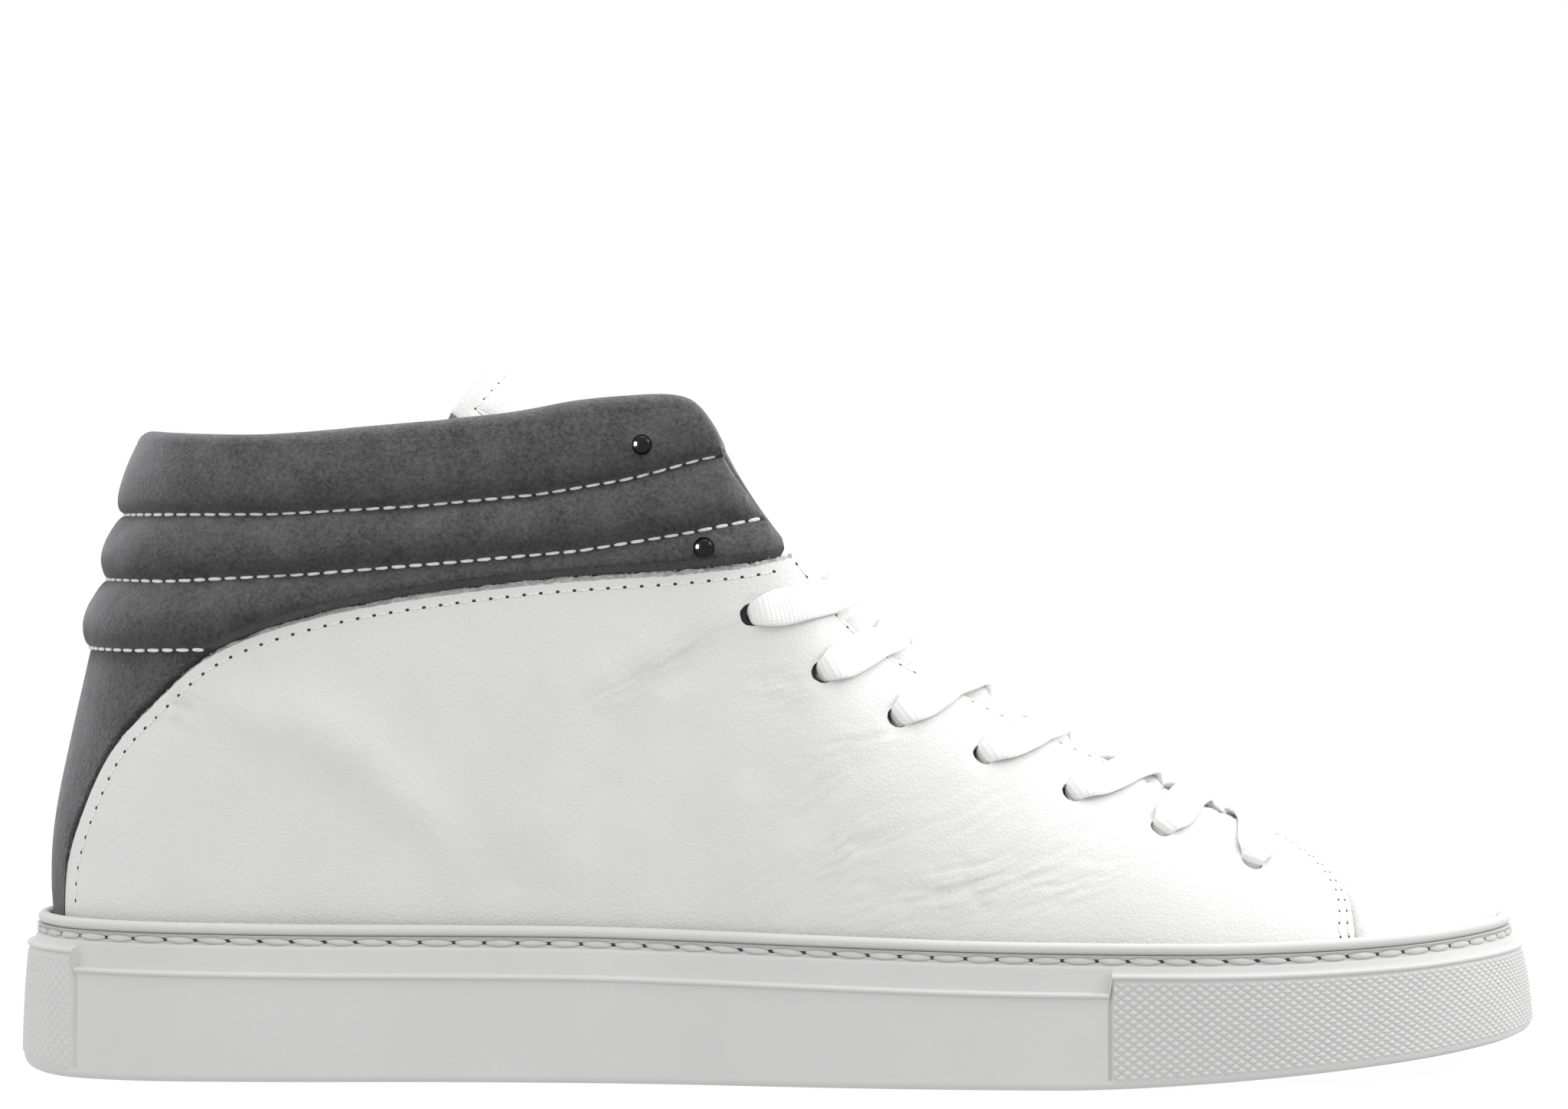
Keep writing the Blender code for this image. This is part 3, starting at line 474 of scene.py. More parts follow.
def grid_faces(columns, rows, closed=False):
    first = np.arange(columns if closed else columns - 1)
    a = (first[:, None] * rows + np.arange(rows - 1)).ravel()
    b = (((first + 1) % columns)[:, None] * rows + np.arange(rows - 1)).ravel()
    return np.stack([a, b, b + 1, a + 1], -1)


def finished(made):
    """The object with its modifiers made real."""
    bpy.context.view_layer.update()
    graph = bpy.context.evaluated_depsgraph_get()
    mesh = bpy.data.meshes.new_from_object(made.evaluated_get(graph))
    made.modifiers.clear()
    made.data = mesh
    return made


def panel(name, points, thickness, *surfaces, holes=None, edge=0.3, raw=None):
    """A leather panel: a grid of outer points given a thickness, cut holes and softened cut edges.

    raw marks the grid points whose faces show the leather's rough inside, where the edge is skived.
    """
    columns, rows = points.shape[:2]
    faces = grid_faces(columns, rows)
    made = mesh_object(name, points, faces, *surfaces)
    if raw is not None:
        made.data.polygons.foreach_set("material_index", np.all(raw.ravel()[faces], axis=1).astype(np.int32))
    merge(made.data, 0.02)
    solid = made.modifiers.new("thickness", "SOLIDIFY")
    solid.thickness = thickness * MM
    solid.offset = -1
    solid.use_even_offset = True
    solid.thickness_clamp = 0
    if len(surfaces) > 1:
        solid.material_offset = 1
        solid.material_offset_rim = 1
    if edge:
        bevel = made.modifiers.new("edge", "BEVEL")
        bevel.width = edge * MM
        bevel.segments = 2
        bevel.limit_method = "ANGLE"
        bevel.angle_limit = math.radians(50)
        bevel.harden_normals = False
    if holes:
        cut = made.modifiers.new("holes", "BOOLEAN")
        cut.operation = "DIFFERENCE"
        cut.solver = "EXACT"
        cut.object = holes
    finished(made)
    made.data.set_sharp_from_angle(angle=math.radians(55))
    return made


def axes_at(normals, directions):
    """Rotation matrices with columns (direction, side, normal)."""
    normals = unit(normals)
    directions = unit(directions - normals * np.sum(directions * normals, -1, keepdims=True))
    return np.stack([directions, np.cross(normals, directions), normals], -1)


def scattered(name, template, faces, origins, turns, sizes, surface):
    """Many copies of a small template in one mesh, each turned and scaled in its own axes."""
    origins, turns, sizes = (np.asarray(v, float) for v in (origins, turns, sizes))
    points = np.einsum("nij,nkj->nki", turns, template[None] * sizes[:, None, :]) + origins[:, None]
    count = len(template)
    all_faces = (np.asarray(faces)[None] + (np.arange(len(origins)) * count)[:, None, None]).reshape(-1, 4)
    return mesh_object(name, points, all_faces, surface, sharp=80)


def cap_quads(start, sides, flipped):
    """The quads that close a ring of points, of which start is the first."""
    quads = []
    for j in range(1, sides // 2):
        ring = (start + j - 1, start + j, start + sides - 1 - j, start + (sides - j) % sides)
        quads.append(ring[::-1] if flipped else ring)
    return quads


def bead(around_count=10, along_count=9, fullness=2.6):
    """A unit lozenge of thread lying along x, as (points, quads)."""
    lengths = np.cos(np.linspace(math.pi, 0, along_count))
    swell = (1 - abs(lengths) ** fullness) ** (1 / fullness)
    swell[[0, -1]] = 0.12
    turn = np.arange(around_count) / around_count * 2 * math.pi
    rings = [
        np.stack([0 * turn + x, r * np.cos(turn), r * np.sin(turn)], -1) for x, r in zip(lengths, swell)
    ]
    quads = []
    for i in range(along_count - 1):
        here, after = i * around_count, (i + 1) * around_count
        for j in range(around_count):
            k = (j + 1) % around_count
            quads.append((here + j, here + k, after + k, after + j))
    for start in (0, (along_count - 1) * around_count):
        quads += cap_quads(start, around_count, not start)
    return np.concatenate(rings), quads


BEAD, BEAD_FACES = bead()
LENS = bead(fullness=1.7)[0]


def stitches(
    name, line, normals, pitch, length, width, rise, holes, surface="white_thread", shape=BEAD, slant=0.0
):
    """A run of stitches along a line on a surface, and near-black discs between them that paint the shade of
    the needle holes.
    """
    line, normals = np.asarray(line, float), unit(np.asarray(normals, float))
    run = np.concatenate([[0], np.cumsum(np.linalg.norm(np.diff(line, axis=0), axis=1))])
    count = max(1, int(run[-1] / pitch))
    at = (np.arange(count) + 0.5) * run[-1] / count
    sample = lambda marks, values: np.stack([np.interp(marks, run, values[:, k]) for k in range(3)], -1)
    centre, normal = sample(at, line), sample(at, normals)
    direction = sample(at + 0.6, line) - sample(at - 0.6, line)
    turns = axes_at(normal, direction)
    tilt = slant + 0.04 * np.sin(np.arange(count) * 12.9898)
    direction = turns[..., 0] + turns[..., 1] * tilt[:, None]
    turns = axes_at(normal, direction)
    vary = 1 + 0.07 * np.sin(np.arange(count) * 78.233)
    sizes = np.stack([length / 2 * vary, np.full(count, width / 2), np.full(count, width * rise)], -1)
    made = scattered(name, shape, BEAD_FACES, centre, turns, sizes, surface)
    at = np.arange(count + 1) * run[-1] / count
    centre, normal = sample(at, line), sample(at, normals)
    turns = axes_at(normal, sample(at + 0.6, line) - sample(at - 0.6, line))
    # Near-black discs just below the surface at each stitch end: painted shade of the needle holes, as no
    # hole is cut.
    sizes = np.tile([holes[0] / 2, holes[1] / 2, 0.1], (len(at), 1))
    spots = centre - turns[..., 2] * 0.04
    return [made, scattered(name + "_holes", BEAD, BEAD_FACES, spots, turns, sizes, "needle_hole_shade")]


def turned(name, profile, centre, normal, surface, steps=32):
    """A closed body spun round a normal from (radius, height) points in mm."""
    profile = np.array(profile, float)
    radius, height = profile.T
    turn = (np.arange(steps) / steps * 2 * math.pi)[:, None]
    rings = np.stack([radius * np.cos(turn), radius * np.sin(turn), height + 0 * turn], -1)
    side = unit(np.cross(normal, (0.0, 0.1, 1.0)))
    axes = np.stack([side, np.cross(normal, side), unit(np.asarray(normal))], -1)
    points = rings @ axes.T + centre
    return mesh_object(name, points, grid_faces(steps, len(profile), True), surface, weld=0.01, sharp=35)


def cutters(name, places, radius, length, surface, sides=28):
    bm = bmesh.new()
    for point, normal in places:
        turn = Vector(normal).to_track_quat("Z", "Y").to_matrix().to_4x4()
        matrix = Matrix.Translation(Vector(place(point)[0])) @ turn
        bmesh.ops.create_cone(
            bm, cap_ends=True, segments=sides, radius1=radius * MM, radius2=radius * MM, depth=length * MM,
            matrix=matrix,
        )
    mesh = bpy.data.meshes.new(name)
    bm.to_mesh(mesh)
    bm.free()
    mesh.materials.append(MATERIALS[surface])
    made = bpy.data.objects.new(name, mesh)
    bpy.context.scene.collection.objects.link(made)
    return made


def discard(*made):
    for one in made:
        bpy.data.objects.remove(one)


def rides(*made, body="shoe"):
    for one in made:
        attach(one, body)
    return made


# ---------------------------------------------------------------- materials


class Nodes:
    """A short way to write a material's node tree."""

    def __init__(self, name, colour, roughness, metallic=0.0):
        self.material = bpy.data.materials.new(name)
        self.material.use_nodes = True
        self.tree = self.material.node_tree
        self.shader = self.tree.nodes["Principled BSDF"]
        self.set(**{"Base Color": (*colour, 1), "Roughness": roughness, "Metallic": metallic})
        self.material.diffuse_color = (*colour, 1)
        self.height = None
        self.coordinates = self.tree.nodes.new("ShaderNodeTexCoord")

    def set(self, **values):
        for name, value in values.items():
            self.shader.inputs[name].default_value = value

    def link(self, a, b):
        self.tree.links.new(a, b)

    def texture(self, kind, scale, source="Object", stretch=None, **settings):
        node = self.tree.nodes.new("ShaderNodeTex" + kind)
        for name, value in settings.items():
            if name in node.inputs:
                node.inputs[name].default_value = value
            else:
                setattr(node, name, value)
        node.inputs["Scale"].default_value = scale
        vector = self.coordinates.outputs[source]
        if stretch:
            mapping = self.tree.nodes.new("ShaderNodeMapping")
            mapping.inputs["Scale"].default_value = stretch
            self.link(vector, mapping.inputs["Vector"])
            vector = mapping.outputs["Vector"]
        self.link(vector, node.inputs["Vector"])
        return node.outputs["Fac" if "Fac" in node.outputs else "Distance"]

    def ramp(self, value, low, high, low_to, high_to):
        node = self.tree.nodes.new("ShaderNodeMapRange")
        for name, number in (("From Min", low), ("From Max", high), ("To Min", low_to), ("To Max", high_to)):
            node.inputs[name].default_value = number
        self.link(value, node.inputs["Value"])
        return node.outputs["Result"]

    def math(self, operation, a, b):
        node = self.tree.nodes.new("ShaderNodeMath")
        node.operation = operation
        for value, socket in zip((a, b), node.inputs):
            if isinstance(value, (int, float)):
                socket.default_value = value
            else:
                self.link(value, socket)
        return node.outputs["Value"]

    def colours(self, factor, first, second):
        node = self.tree.nodes.new("ShaderNodeMix")
        node.data_type = "RGBA"
        self.link(factor, node.inputs["Factor"])
        node.inputs[6].default_value = (*first, 1)
        node.inputs[7].default_value = (*second, 1)
        self.link(node.outputs[2], self.shader.inputs["Base Color"])
        return self

    def rough(self, value):
        self.link(value, self.shader.inputs["Roughness"])
        return self

    def bump(self, value, distance, strength=1.0):
        """A bump of that height in mm, laid on any bump before it."""
        node = self.tree.nodes.new("ShaderNodeBump")
        node.inputs["Distance"].default_value = distance * MM
        node.inputs["Strength"].default_value = strength
        self.link(value, node.inputs["Height"])
        if self.height:
            self.link(self.height, node.inputs["Normal"])
        self.height = node.outputs["Normal"]
        self.link(self.height, self.shader.inputs["Normal"])
        return self


def make_leather(name, colour, roughness, grain):
    m = Nodes(name, colour, roughness)
    patches = m.texture("Noise", 60, Detail=4.0)
    darker, lighter = [c * 0.975 for c in colour], [min(1, c * 1.015) for c in colour]
    m.colours(m.ramp(patches, 0.3, 0.7, 0, 1), darker, lighter)
    m.rough(m.ramp(m.texture("Noise", 220, Detail=3.0), 0.3, 0.7, roughness - 0.05, roughness + 0.08))
    m.bump(m.texture("Noise", 240, Detail=5.0, Roughness=0.6), 0.09 * grain)
    pebbles = m.texture("Voronoi", 1050, feature="DISTANCE_TO_EDGE")
    m.bump(m.ramp(pebbles, 0.0, 0.22, 0, 1), 0.035 * grain)
    m.set(**{"Specular IOR Level": 0.42, "Coat Weight": 0.06, "Coat Roughness": 0.4})
    return m.material


def make_nubuck(name, dark, light):
    m = Nodes(name, dark, 0.95)
    patches = m.ramp(m.texture("Noise", 110, Detail=6.0, Roughness=0.65), 0.3, 0.7, 0, 0.4)
    nap = m.ramp(m.texture("Noise", 1250, Detail=5.0, Roughness=0.8), 0.36, 0.64, 0, 0.6)
    m.colours(m.math("ADD", patches, nap), dark, light)
    m.bump(m.texture("Noise", 1500, Detail=4.0, Roughness=0.75), 0.3)
    m.bump(m.texture("Noise", 330, Detail=3.0), 0.12)
    m.set(**{"Specular IOR Level": 0.15, "Sheen Weight": 0.42, "Sheen Roughness": 0.4})
    m.set(**{"Sheen Tint": (0.8, 0.8, 0.82, 1)})
    return m.material


def make_suede_edge(name, dark, light):
    m = Nodes(name, dark, 0.95)
    m.colours(m.ramp(m.texture("Noise", 1400, Detail=5.0, Roughness=0.8), 0.35, 0.65, 0, 1), dark, light)
    m.bump(m.texture("Noise", 1700, Detail=5.0, Roughness=0.8), 0.4)
    m.set(**{"Sheen Weight": 0.3, "Specular IOR Level": 0.15})
    return m.material


def make_rubber(name, colour, roughness):
    m = Nodes(name, colour, roughness)
    mottle = m.ramp(m.texture("Noise", 45, Detail=5.0), 0.3, 0.7, 0, 1)
    m.colours(mottle, [c * 0.965 for c in colour], colour)
    m.rough(m.ramp(m.texture("Noise", 160, Detail=3.0), 0.3, 0.7, roughness - 0.06, roughness + 0.1))
    m.bump(m.texture("Noise", 1300, Detail=3.0), 0.03)
    m.bump(m.texture("Noise", 210, Detail=3.0), 0.06)
    m.set(**{"Specular IOR Level": 0.4, "Subsurface Weight": 0.06, "Subsurface Scale": 0.002})
    return m.material


def make_woven(name, colour, ribs, wales):
    """A flat weave in UV space, where u runs along the cloth in mm and v across it in mm."""
    m = Nodes(name, colour, 0.9)
    waver = {"Distortion": 0.3, "Detail": 1.0}
    ribbed = m.texture("Wave", 1.0, "UV", (ribs, wales * 0.1, 1), bands_direction="X", **waver)
    across = m.texture("Wave", 1.0, "UV", (ribs * 0.1, wales, 1), bands_direction="Y", **waver)
    yarn = m.math("MULTIPLY", m.ramp(ribbed, 0, 1, 0.55, 1), m.ramp(across, 0, 1, 0.78, 1))
    m.colours(yarn, [c * 0.88 for c in colour], colour)
    m.bump(yarn, 0.2)
    m.bump(m.texture("Noise", 2600, Detail=3.0, Roughness=0.8), 0.09)
    m.set(**{"Sheen Weight": 0.35, "Sheen Roughness": 0.5, "Specular IOR Level": 0.2})
    return m.material


def make_thread(name, colour):
    m = Nodes(name, colour, 0.7)
    twist = m.texture("Wave", 420, stretch=(1, 1, 1.6), bands_direction="DIAGONAL", Distortion=1.5)
    m.colours(twist, [c * 0.84 for c in colour], colour)
    m.bump(twist, 0.08)
    m.set(**{"Sheen Weight": 0.25})
    return m.material


def make_knit(name, colour):
    """A fine mesh cloth for the linings."""
    m = Nodes(name, colour, 0.92)
    cells = m.texture("Voronoi", 1150, feature="DISTANCE_TO_EDGE", Randomness=0.25)
    m.colours(m.ramp(cells, 0.0, 0.25, 0, 1), [c * 0.72 for c in colour], colour)
    m.bump(m.ramp(cells, 0.0, 0.3, 0, 1), 0.12)
    m.bump(m.texture("Noise", 180, Detail=3.0), 0.1)
    m.set(**{"Sheen Weight": 0.3})
    return m.material


def make_foam(name, colour):
    m = Nodes(name, colour, 0.95)
    cells = m.texture("Voronoi", 1300, feature="F1")
    m.colours(m.ramp(cells, 0.1, 0.6, 0, 1), [c * 0.7 for c in colour], colour)
    m.bump(cells, 0.3)
    return m.material


def make_plain(name, colour, roughness, metallic, grain_scale, grain):
    m = Nodes(name, colour, roughness, metallic)
    m.rough(m.ramp(m.texture("Noise", grain_scale, Detail=4.0), 0.3, 0.7, roughness * 0.8, roughness * 1.25))
    mottle = m.ramp(m.texture("Noise", grain_scale * 0.3, Detail=3.0), 0.3, 0.7, 0, 1)
    m.colours(mottle, [c * 0.9 for c in colour], colour)
    m.bump(m.texture("Noise", grain_scale * 2, Detail=3.0), grain)
    return m.material


def make_paper(name):
    """The studio's backlit white paper."""
    m = Nodes(name, (0.14, 0.14, 0.14), 1.0)
    m.set(**{"Emission Color": (1, 1, 1, 1), "Emission Strength": 0.93, "Specular IOR Level": 0.0})
    return m.material


def make_materials():
    return {
        "white_leather": make_leather("white_leather_look", (0.71, 0.71, 0.705), 0.5, 1.35),
        "suede_edge": make_suede_edge("suede_edge_look", (0.4, 0.395, 0.385), (0.86, 0.85, 0.83)),
        "grey_nubuck": make_nubuck("grey_nubuck_look", (0.014, 0.014, 0.0145), (0.09, 0.09, 0.092)),
        "lining_leather": make_leather("lining_leather_look", (0.74, 0.73, 0.7), 0.68, 1.3),
        "lining_cloth": make_knit("lining_cloth_look", (0.72, 0.71, 0.69)),
        "sole_rubber": make_rubber("sole_rubber_look", (0.62, 0.62, 0.615), 0.5),
        "foam": make_foam("foam_look", (0.75, 0.74, 0.68)),
        "fibreboard": make_foam("fibreboard_look", (0.55, 0.45, 0.33)),
        "thermoplastic": make_plain("thermoplastic_look", (0.7, 0.7, 0.68), 0.5, 0.0, 300, 0.03),
        "white_cotton": make_woven("white_cotton_look", (0.93, 0.93, 0.925), 0.38, 0.45),
        "white_thread": make_thread("white_thread_look", (0.85, 0.85, 0.83)),
        "sole_thread": make_plain("sole_thread_look", (0.62, 0.62, 0.61), 0.75, 0.0, 900, 0.05),
        "dark_chrome": make_plain("dark_chrome_look", (0.022, 0.022, 0.024), 0.17, 1.0, 400, 0.01),
        "clear_plastic": make_plain("clear_plastic_look", (0.86, 0.86, 0.85), 0.25, 0.0, 300, 0.02),
        "suede_fibre": make_plain("suede_fibre_look", (0.7, 0.69, 0.67), 0.9, 0.0, 900, 0.02),
        # The tape is a real part, but its near-black colour is painted shade: it shows at the eyelet hole
        # walls.
        "eyelet_tape": make_knit("eyelet_tape_painted_shade_look", (0.045, 0.045, 0.047)),
        # Near-black discs at the stitch ends: painted shade of the needle holes.
        "needle_hole_shade": make_plain("painted_hole_shade_look", (0.03, 0.03, 0.03), 0.9, 0.0, 500, 0.02),
        "floor": make_paper("floor_look"),
    }


# ---------------------------------------------------------------- camera and light


def area_light(name, spot, aim, size, power):
    light = bpy.data.lights.new(name, "AREA")
    light.size, light.energy = size, power
    holder = bpy.data.objects.new(name, light)
    holder.location = spot
    holder.rotation_euler = (Vector(aim) - Vector(spot)).to_track_quat("-Z", "Y").to_euler()
    bpy.context.scene.collection.objects.link(holder)
    return holder


def make_stage():
    """White paper, a camera 1 m to the shoe's outer side, and soft light, strongest over the toe.

    The last two lamps light one collection each: the studs, and the collar.
    """
    scene = bpy.context.scene
    camera = bpy.data.cameras.new("camera")
    camera.sensor_width = 36.0
    camera.lens = 114.3
    camera.clip_end = 50
    holder = bpy.data.objects.new("camera", camera)
    holder.location = (0.001, -1.0, 0.102)
    holder.rotation_euler = (math.radians(90), 0, 0)
    scene.collection.objects.link(holder)
    scene.camera = holder

    half = 6000.0
    points = [(x, y, -0.1) for x in (-half, half) for y in (-half, half)]
    floor = mesh_object("floor", points, [(0, 2, 3, 1)], "floor")
    floor.visible_diffuse = False

    world = bpy.data.worlds.new("studio")
    world.use_nodes = True
    world.node_tree.nodes["Background"].inputs["Color"].default_value = (1, 1, 1, 1)
    seen = world.node_tree.nodes.new("ShaderNodeLightPath").outputs["Is Camera Ray"]
    level = world.node_tree.nodes.new("ShaderNodeSeparateXYZ")
    sky = world.node_tree.nodes.new("ShaderNodeMapRange")
    for socket, value in (("From Min", -0.5), ("From Max", 0.6), ("To Min", 0.68), ("To Max", 1.2)):
        sky.inputs[socket].default_value = value
    brightness = world.node_tree.nodes.new("ShaderNodeMapRange")
    direction = world.node_tree.nodes.new("ShaderNodeTexCoord").outputs["Generated"]
    for start, end in (
        (direction, level.inputs["Vector"]),
        (level.outputs["Z"], sky.inputs["Value"]),
        (sky.outputs["Result"], brightness.inputs["To Min"]),
        (seen, brightness.inputs["Value"]),
        (brightness.outputs["Result"], world.node_tree.nodes["Background"].inputs["Strength"]),
    ):
        world.node_tree.links.new(start, end)
    scene.world = world
    area_light("key", (0.95, -0.12, 0.75), (0.12, 0, 0.04), 0.5, 5.0)
    area_light("top", (0.1, 0.15, 1.1), (0, 0, 0.05), 0.8, 4.0)
    for name, spot, aim, size, power in (
        ("glint", (-1.0, -0.35, 0.2), (-0.02, -0.03, 0.1), 0.6, 220.0),
        ("crest", (-0.05, -0.5, 1.25), (-0.08, -0.03, 0.11), 0.5, 18.0),
    ):
        linking = area_light(name, spot, aim, size, power).light_linking
        linking.receiver_collection = bpy.data.collections.new("lit by the " + name)
    scene.view_settings.view_transform = "Standard"


# ---------------------------------------------------------------- the lace


def tongue_arch(u):
    radius = np.interp(u, (0, 1, 3, 5, 7, 11), (15, 15, 19, 26, 28.5, 28.5))
    half_width = np.interp(u, (0, 1, 3, 5, 7, 7.6, 11), (12, 13, 16.5, 23.5, 24.5, 24.8, 25.2))
    return radius, np.arcsin(half_width / radius)


def tongue(u, v, depth=0.0):
    """Points of the tongue: u along TONGUE_LINE, v across from -1 to 1."""
    u, v, depth = np.broadcast_arrays(*(np.asarray(k, float) for k in (u, v, depth)))
    line = np.array(TONGUE_LINE)
    here = catmull(line, u)
    run = catmull(line, np.minimum(u + 0.02, TONGUE_END)) - catmull(line, u - 0.02)
    up = np.stack([-run[..., 1], 0 * u, run[..., 0]], -1)
    up /= -np.linalg.norm(up, axis=-1, keepdims=True)
    radius, half_angle = (k[..., None] for k in tongue_arch(u))
    angle = v[..., None] * half_angle
    centre = np.stack([here[..., 0], 0 * u, here[..., 1]], -1) - up * radius
    outwards = up * np.cos(angle) + np.array([0, 1.0, 0]) * np.sin(angle)
    return centre + (radius - depth[..., None]) * outwards


def tongue_normal(u, v):
    return unit(tongue(u, v, -1.0) - tongue(u, v))


def eyelet_places():
    s, t = locate(*np.array(EYELETS).T)
    places = {}
    for number in range(len(EYELETS)):
        for side in (-1, 1):
            at = on(side, s[number])
            normal = upper_frame(at, t[number])[0]
            places[side, number] = (upper(at, t[number]), normal, s[number], t[number])
    return places


def lace_tail(side):
    """From the top eyelet down inside the quarter and forwards under its edge: (point, flat, width)."""
    s = np.array([8.1, 8.0, 7.9, 8.0, 8.5, 9.3, 10.2, 11.0])
    t = np.array([0.64, 0.5, 0.36, 0.22, 0.15, 0.13, 0.13, 0.14])
    depth = lining_depth(s) + LINING + 1.0 + np.array([0.6, 0.6, 0.6, 0.6, 1.2, 2.4, 4.0, 6.2])
    at = on(side, s)
    return list(zip(layer(at, t, depth), upper_frame(at, t)[0], np.linspace(1.0, 0.45, len(s))))


def crossing_station(side, number):
    """Where a strand passes over the throat's edge: the medial ones a little further forward."""
    return LACE_OVER[number] + (0.05 if side > 0 else 0)


def lace_crossing(side, number):
    """Past the near throat edge: straight through the air to the tongue's crest, and under the far edge."""
    far = LACE_OVER[number] + np.array([0.1, 0.12])
    u = LACE_CROSSINGS[number]
    over = upper(LACE_OVER[number], 1.0)[2] + LACE_BRIDGE[-1] + 0.4
    lift = 1.75 + np.clip(over - tongue(u, 0.0, -1.75)[2], 0, 1.1) - (0.0 if side < 0 else 1.55)
    edge = upper(crossing_station(side, number), 1.0)
    bridge = np.array([edge[0] + 3.2, side * (abs(edge[1]) - 6.5), edge[2] + LACE_BRIDGE[side]])
    found = [(bridge, unit(np.array([0.45, side * 0.75, 1.0])), 1.0)]
    for du, v, height in ((0.0, 0.0, lift), (-0.12, -side * 0.42, 0.5)):
        found.append((tongue(u + du, v, -height), tongue_normal(u + du, v), 1.0))
    at = on(-side, far)
    inner = layer(at, np.array([1.0, 0.9]), lining_depth(far) + LINING + 0.95)
    return found + list(zip(inner, upper_frame(at, np.array([0.97, 0.9]))[0], (0.95, 0.85)))


def lace_strand(eyelets, side, number, near):
    """From inside the lining, folded narrow through the eyelet, and over the leather to the throat edge."""
    point, normal, s, t = eyelets[side, number]
    start, end = np.array(EYELETS[number]), upper(near, 1.0)[[0, 2]]
    at, up = locate(*(start + (end - start) * np.array([[0.16], [0.38], [0.7], [0.97]])).T)
    at = on(side, at)
    flat = layer(at, up, np.array([-1.0, -0.9, -0.85, -0.85]))
    faces = upper_frame(at, up)[0]
    ahead = flat[1] - point
    ahead = unit(ahead - normal * (ahead @ normal))
    return [
        (point - normal * 5.6, normal, 0.75),
        (point - normal * 2.6 + ahead * 0.5, unit(normal + ahead), 0.56),
        (point - normal * 0.3 + ahead * 0.6, ahead, 0.6),
        (flat[0], unit(ahead - faces[0]), 0.82),
        (flat[1], -faces[1], 1.0),
        (flat[2], -faces[2], 1.0),
        (flat[3], -faces[3], 1.0),
    ]


def lace_knots(eyelets):
    """The lace from tail to tail, as (point, direction its flat side faces, share of its width)."""
    last = len(EYELETS) - 1
    down = [(-1 if k % 2 == 0 else 1, k) for k in range(last)]
    knots = lace_tail(down[0][0])[::-1]
    for side, number in down:
        knots += lace_strand(eyelets, side, number, crossing_station(side, number))
        knots += lace_crossing(side, number)
    side = -1 if last % 2 == 0 else 1
    bar = lace_strand(eyelets, side, last, LACE_BAR)
    edge = bar[-1][0]
    crown = (edge * (1, 0, 1) + np.array([0.1, 0, 1.1]), np.array([-0.3, 0, -0.95]), 1.0)
    far = [(mirrored(p), mirrored(n), w) for p, n, w in bar[::-1]]
    knots += bar + [crown] + far
    for side, number in reversed(down):
        strand = lace_strand(eyelets, -side, number, crossing_station(-side, number))
        knots += (strand + lace_crossing(-side, number))[::-1]
    return knots + lace_tail(-down[0][0])


def ribbon(name, knots, width, thickness, spacing, surface):
    """A flat woven tube along knots, with rounded edges and shallow ribs; its centreline; its length."""
    points = np.array([k[0] for k in knots])
    at = np.linspace(0, len(points) - 1, len(points) * 12)
    line = catmull(points, at)
    run = np.concatenate([[0], np.cumsum(np.linalg.norm(np.diff(line, axis=0), axis=1))])
    marks = np.linspace(0, run[-1], int(run[-1] / spacing))
    at = np.interp(marks, run, at)
    line = catmull(points, at)
    tangent = unit(np.gradient(line, axis=0))
    faces = [np.asarray(knots[0][1], float)]
    for _, face, _ in knots[1:]:
        face = np.asarray(face, float)
        faces.append(face if face @ faces[-1] >= 0 else -face)
    face = catmull(np.array(faces), at)
    face = unit(face - tangent * np.sum(face * tangent, -1, keepdims=True))
    for _ in range(6):
        face[1:-1] = unit(face[:-2] + 2 * face[1:-1] + face[2:])
    face = unit(face - tangent * np.sum(face * tangent, -1, keepdims=True))
    side = np.cross(tangent, face)
    share = np.clip(catmull(np.array([[k[2]] for k in knots]), at)[:, 0], 0.4, 1.02)
    half_w = width / 2 * share * (1 + 0.03 * noise(line, 14, 31))
    half_t = thickness / 2 * (1 + 0.85 * (1 - share)) * (1 + 0.06 * np.cos(marks * 2 * math.pi / 1.25))
    turn = np.linspace(0, 2 * math.pi, 18, endpoint=False)
    across = np.sign(np.cos(turn)) * abs(np.cos(turn)) ** 0.75
    over = np.sign(np.sin(turn)) * abs(np.sin(turn)) ** 0.8
    rings = (
        line[:, None]
        + side[:, None] * (half_w[:, None] * across)[..., None]
        + face[:, None] * (half_t[:, None] * over)[..., None]
    )
    count, sides = rings.shape[:2]
    quads = grid_faces(count, sides)
    seam_a = np.arange(count - 1) * sides
    closing = np.stack([seam_a + sides - 1, seam_a + 2 * sides - 1, seam_a + sides, seam_a], -1)
    caps = []
    for start in (0, (count - 1) * sides):
        caps += cap_quads(start, sides, start)
    uv = np.stack([np.repeat(marks, sides), np.tile(across * width / 2, count)], -1)
    made = mesh_object(name, rings, np.concatenate([quads, closing, caps]), surface, uv=uv, sharp=70)
    return made, line, run[-1]


def make_lace(eyelets):
    knots = lace_knots(eyelets)
    made, line, length = ribbon("flat_lace", knots, LACE_WIDTH, LACE_THICKNESS, 0.55, "white_cotton")
    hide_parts("shoelace")
    tips = []
    profile = [(0, 0.2), (0.9, 0.25), (1.12, 0.5), (1.16, 2), (1.1, 11), (1.16, 20), (1.05, 21.2)]
    profile += [(0.6, 21.9), (0, 22)]
    for word, end, before in (("lateral", line[0], line[3]), ("medial", line[-1], line[-4])):
        tip = turned("aglet_" + word, profile, end, unit(end - before), "clear_plastic", steps=20)
        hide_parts("lace_tip_" + word)
        tips.append(tip)
    rides(made, *tips)


# ---------------------------------------------------------------- the sole


def cup_lean(s):
    """How far the wall has come in at its top: a little at the heel, more round the toe."""
    ahead = outline(s)[1][..., 0]
    return 1.2 * np.clip(-ahead, 0, 1) ** 2 + 2.6 * np.clip(ahead, 0, 1) ** 2


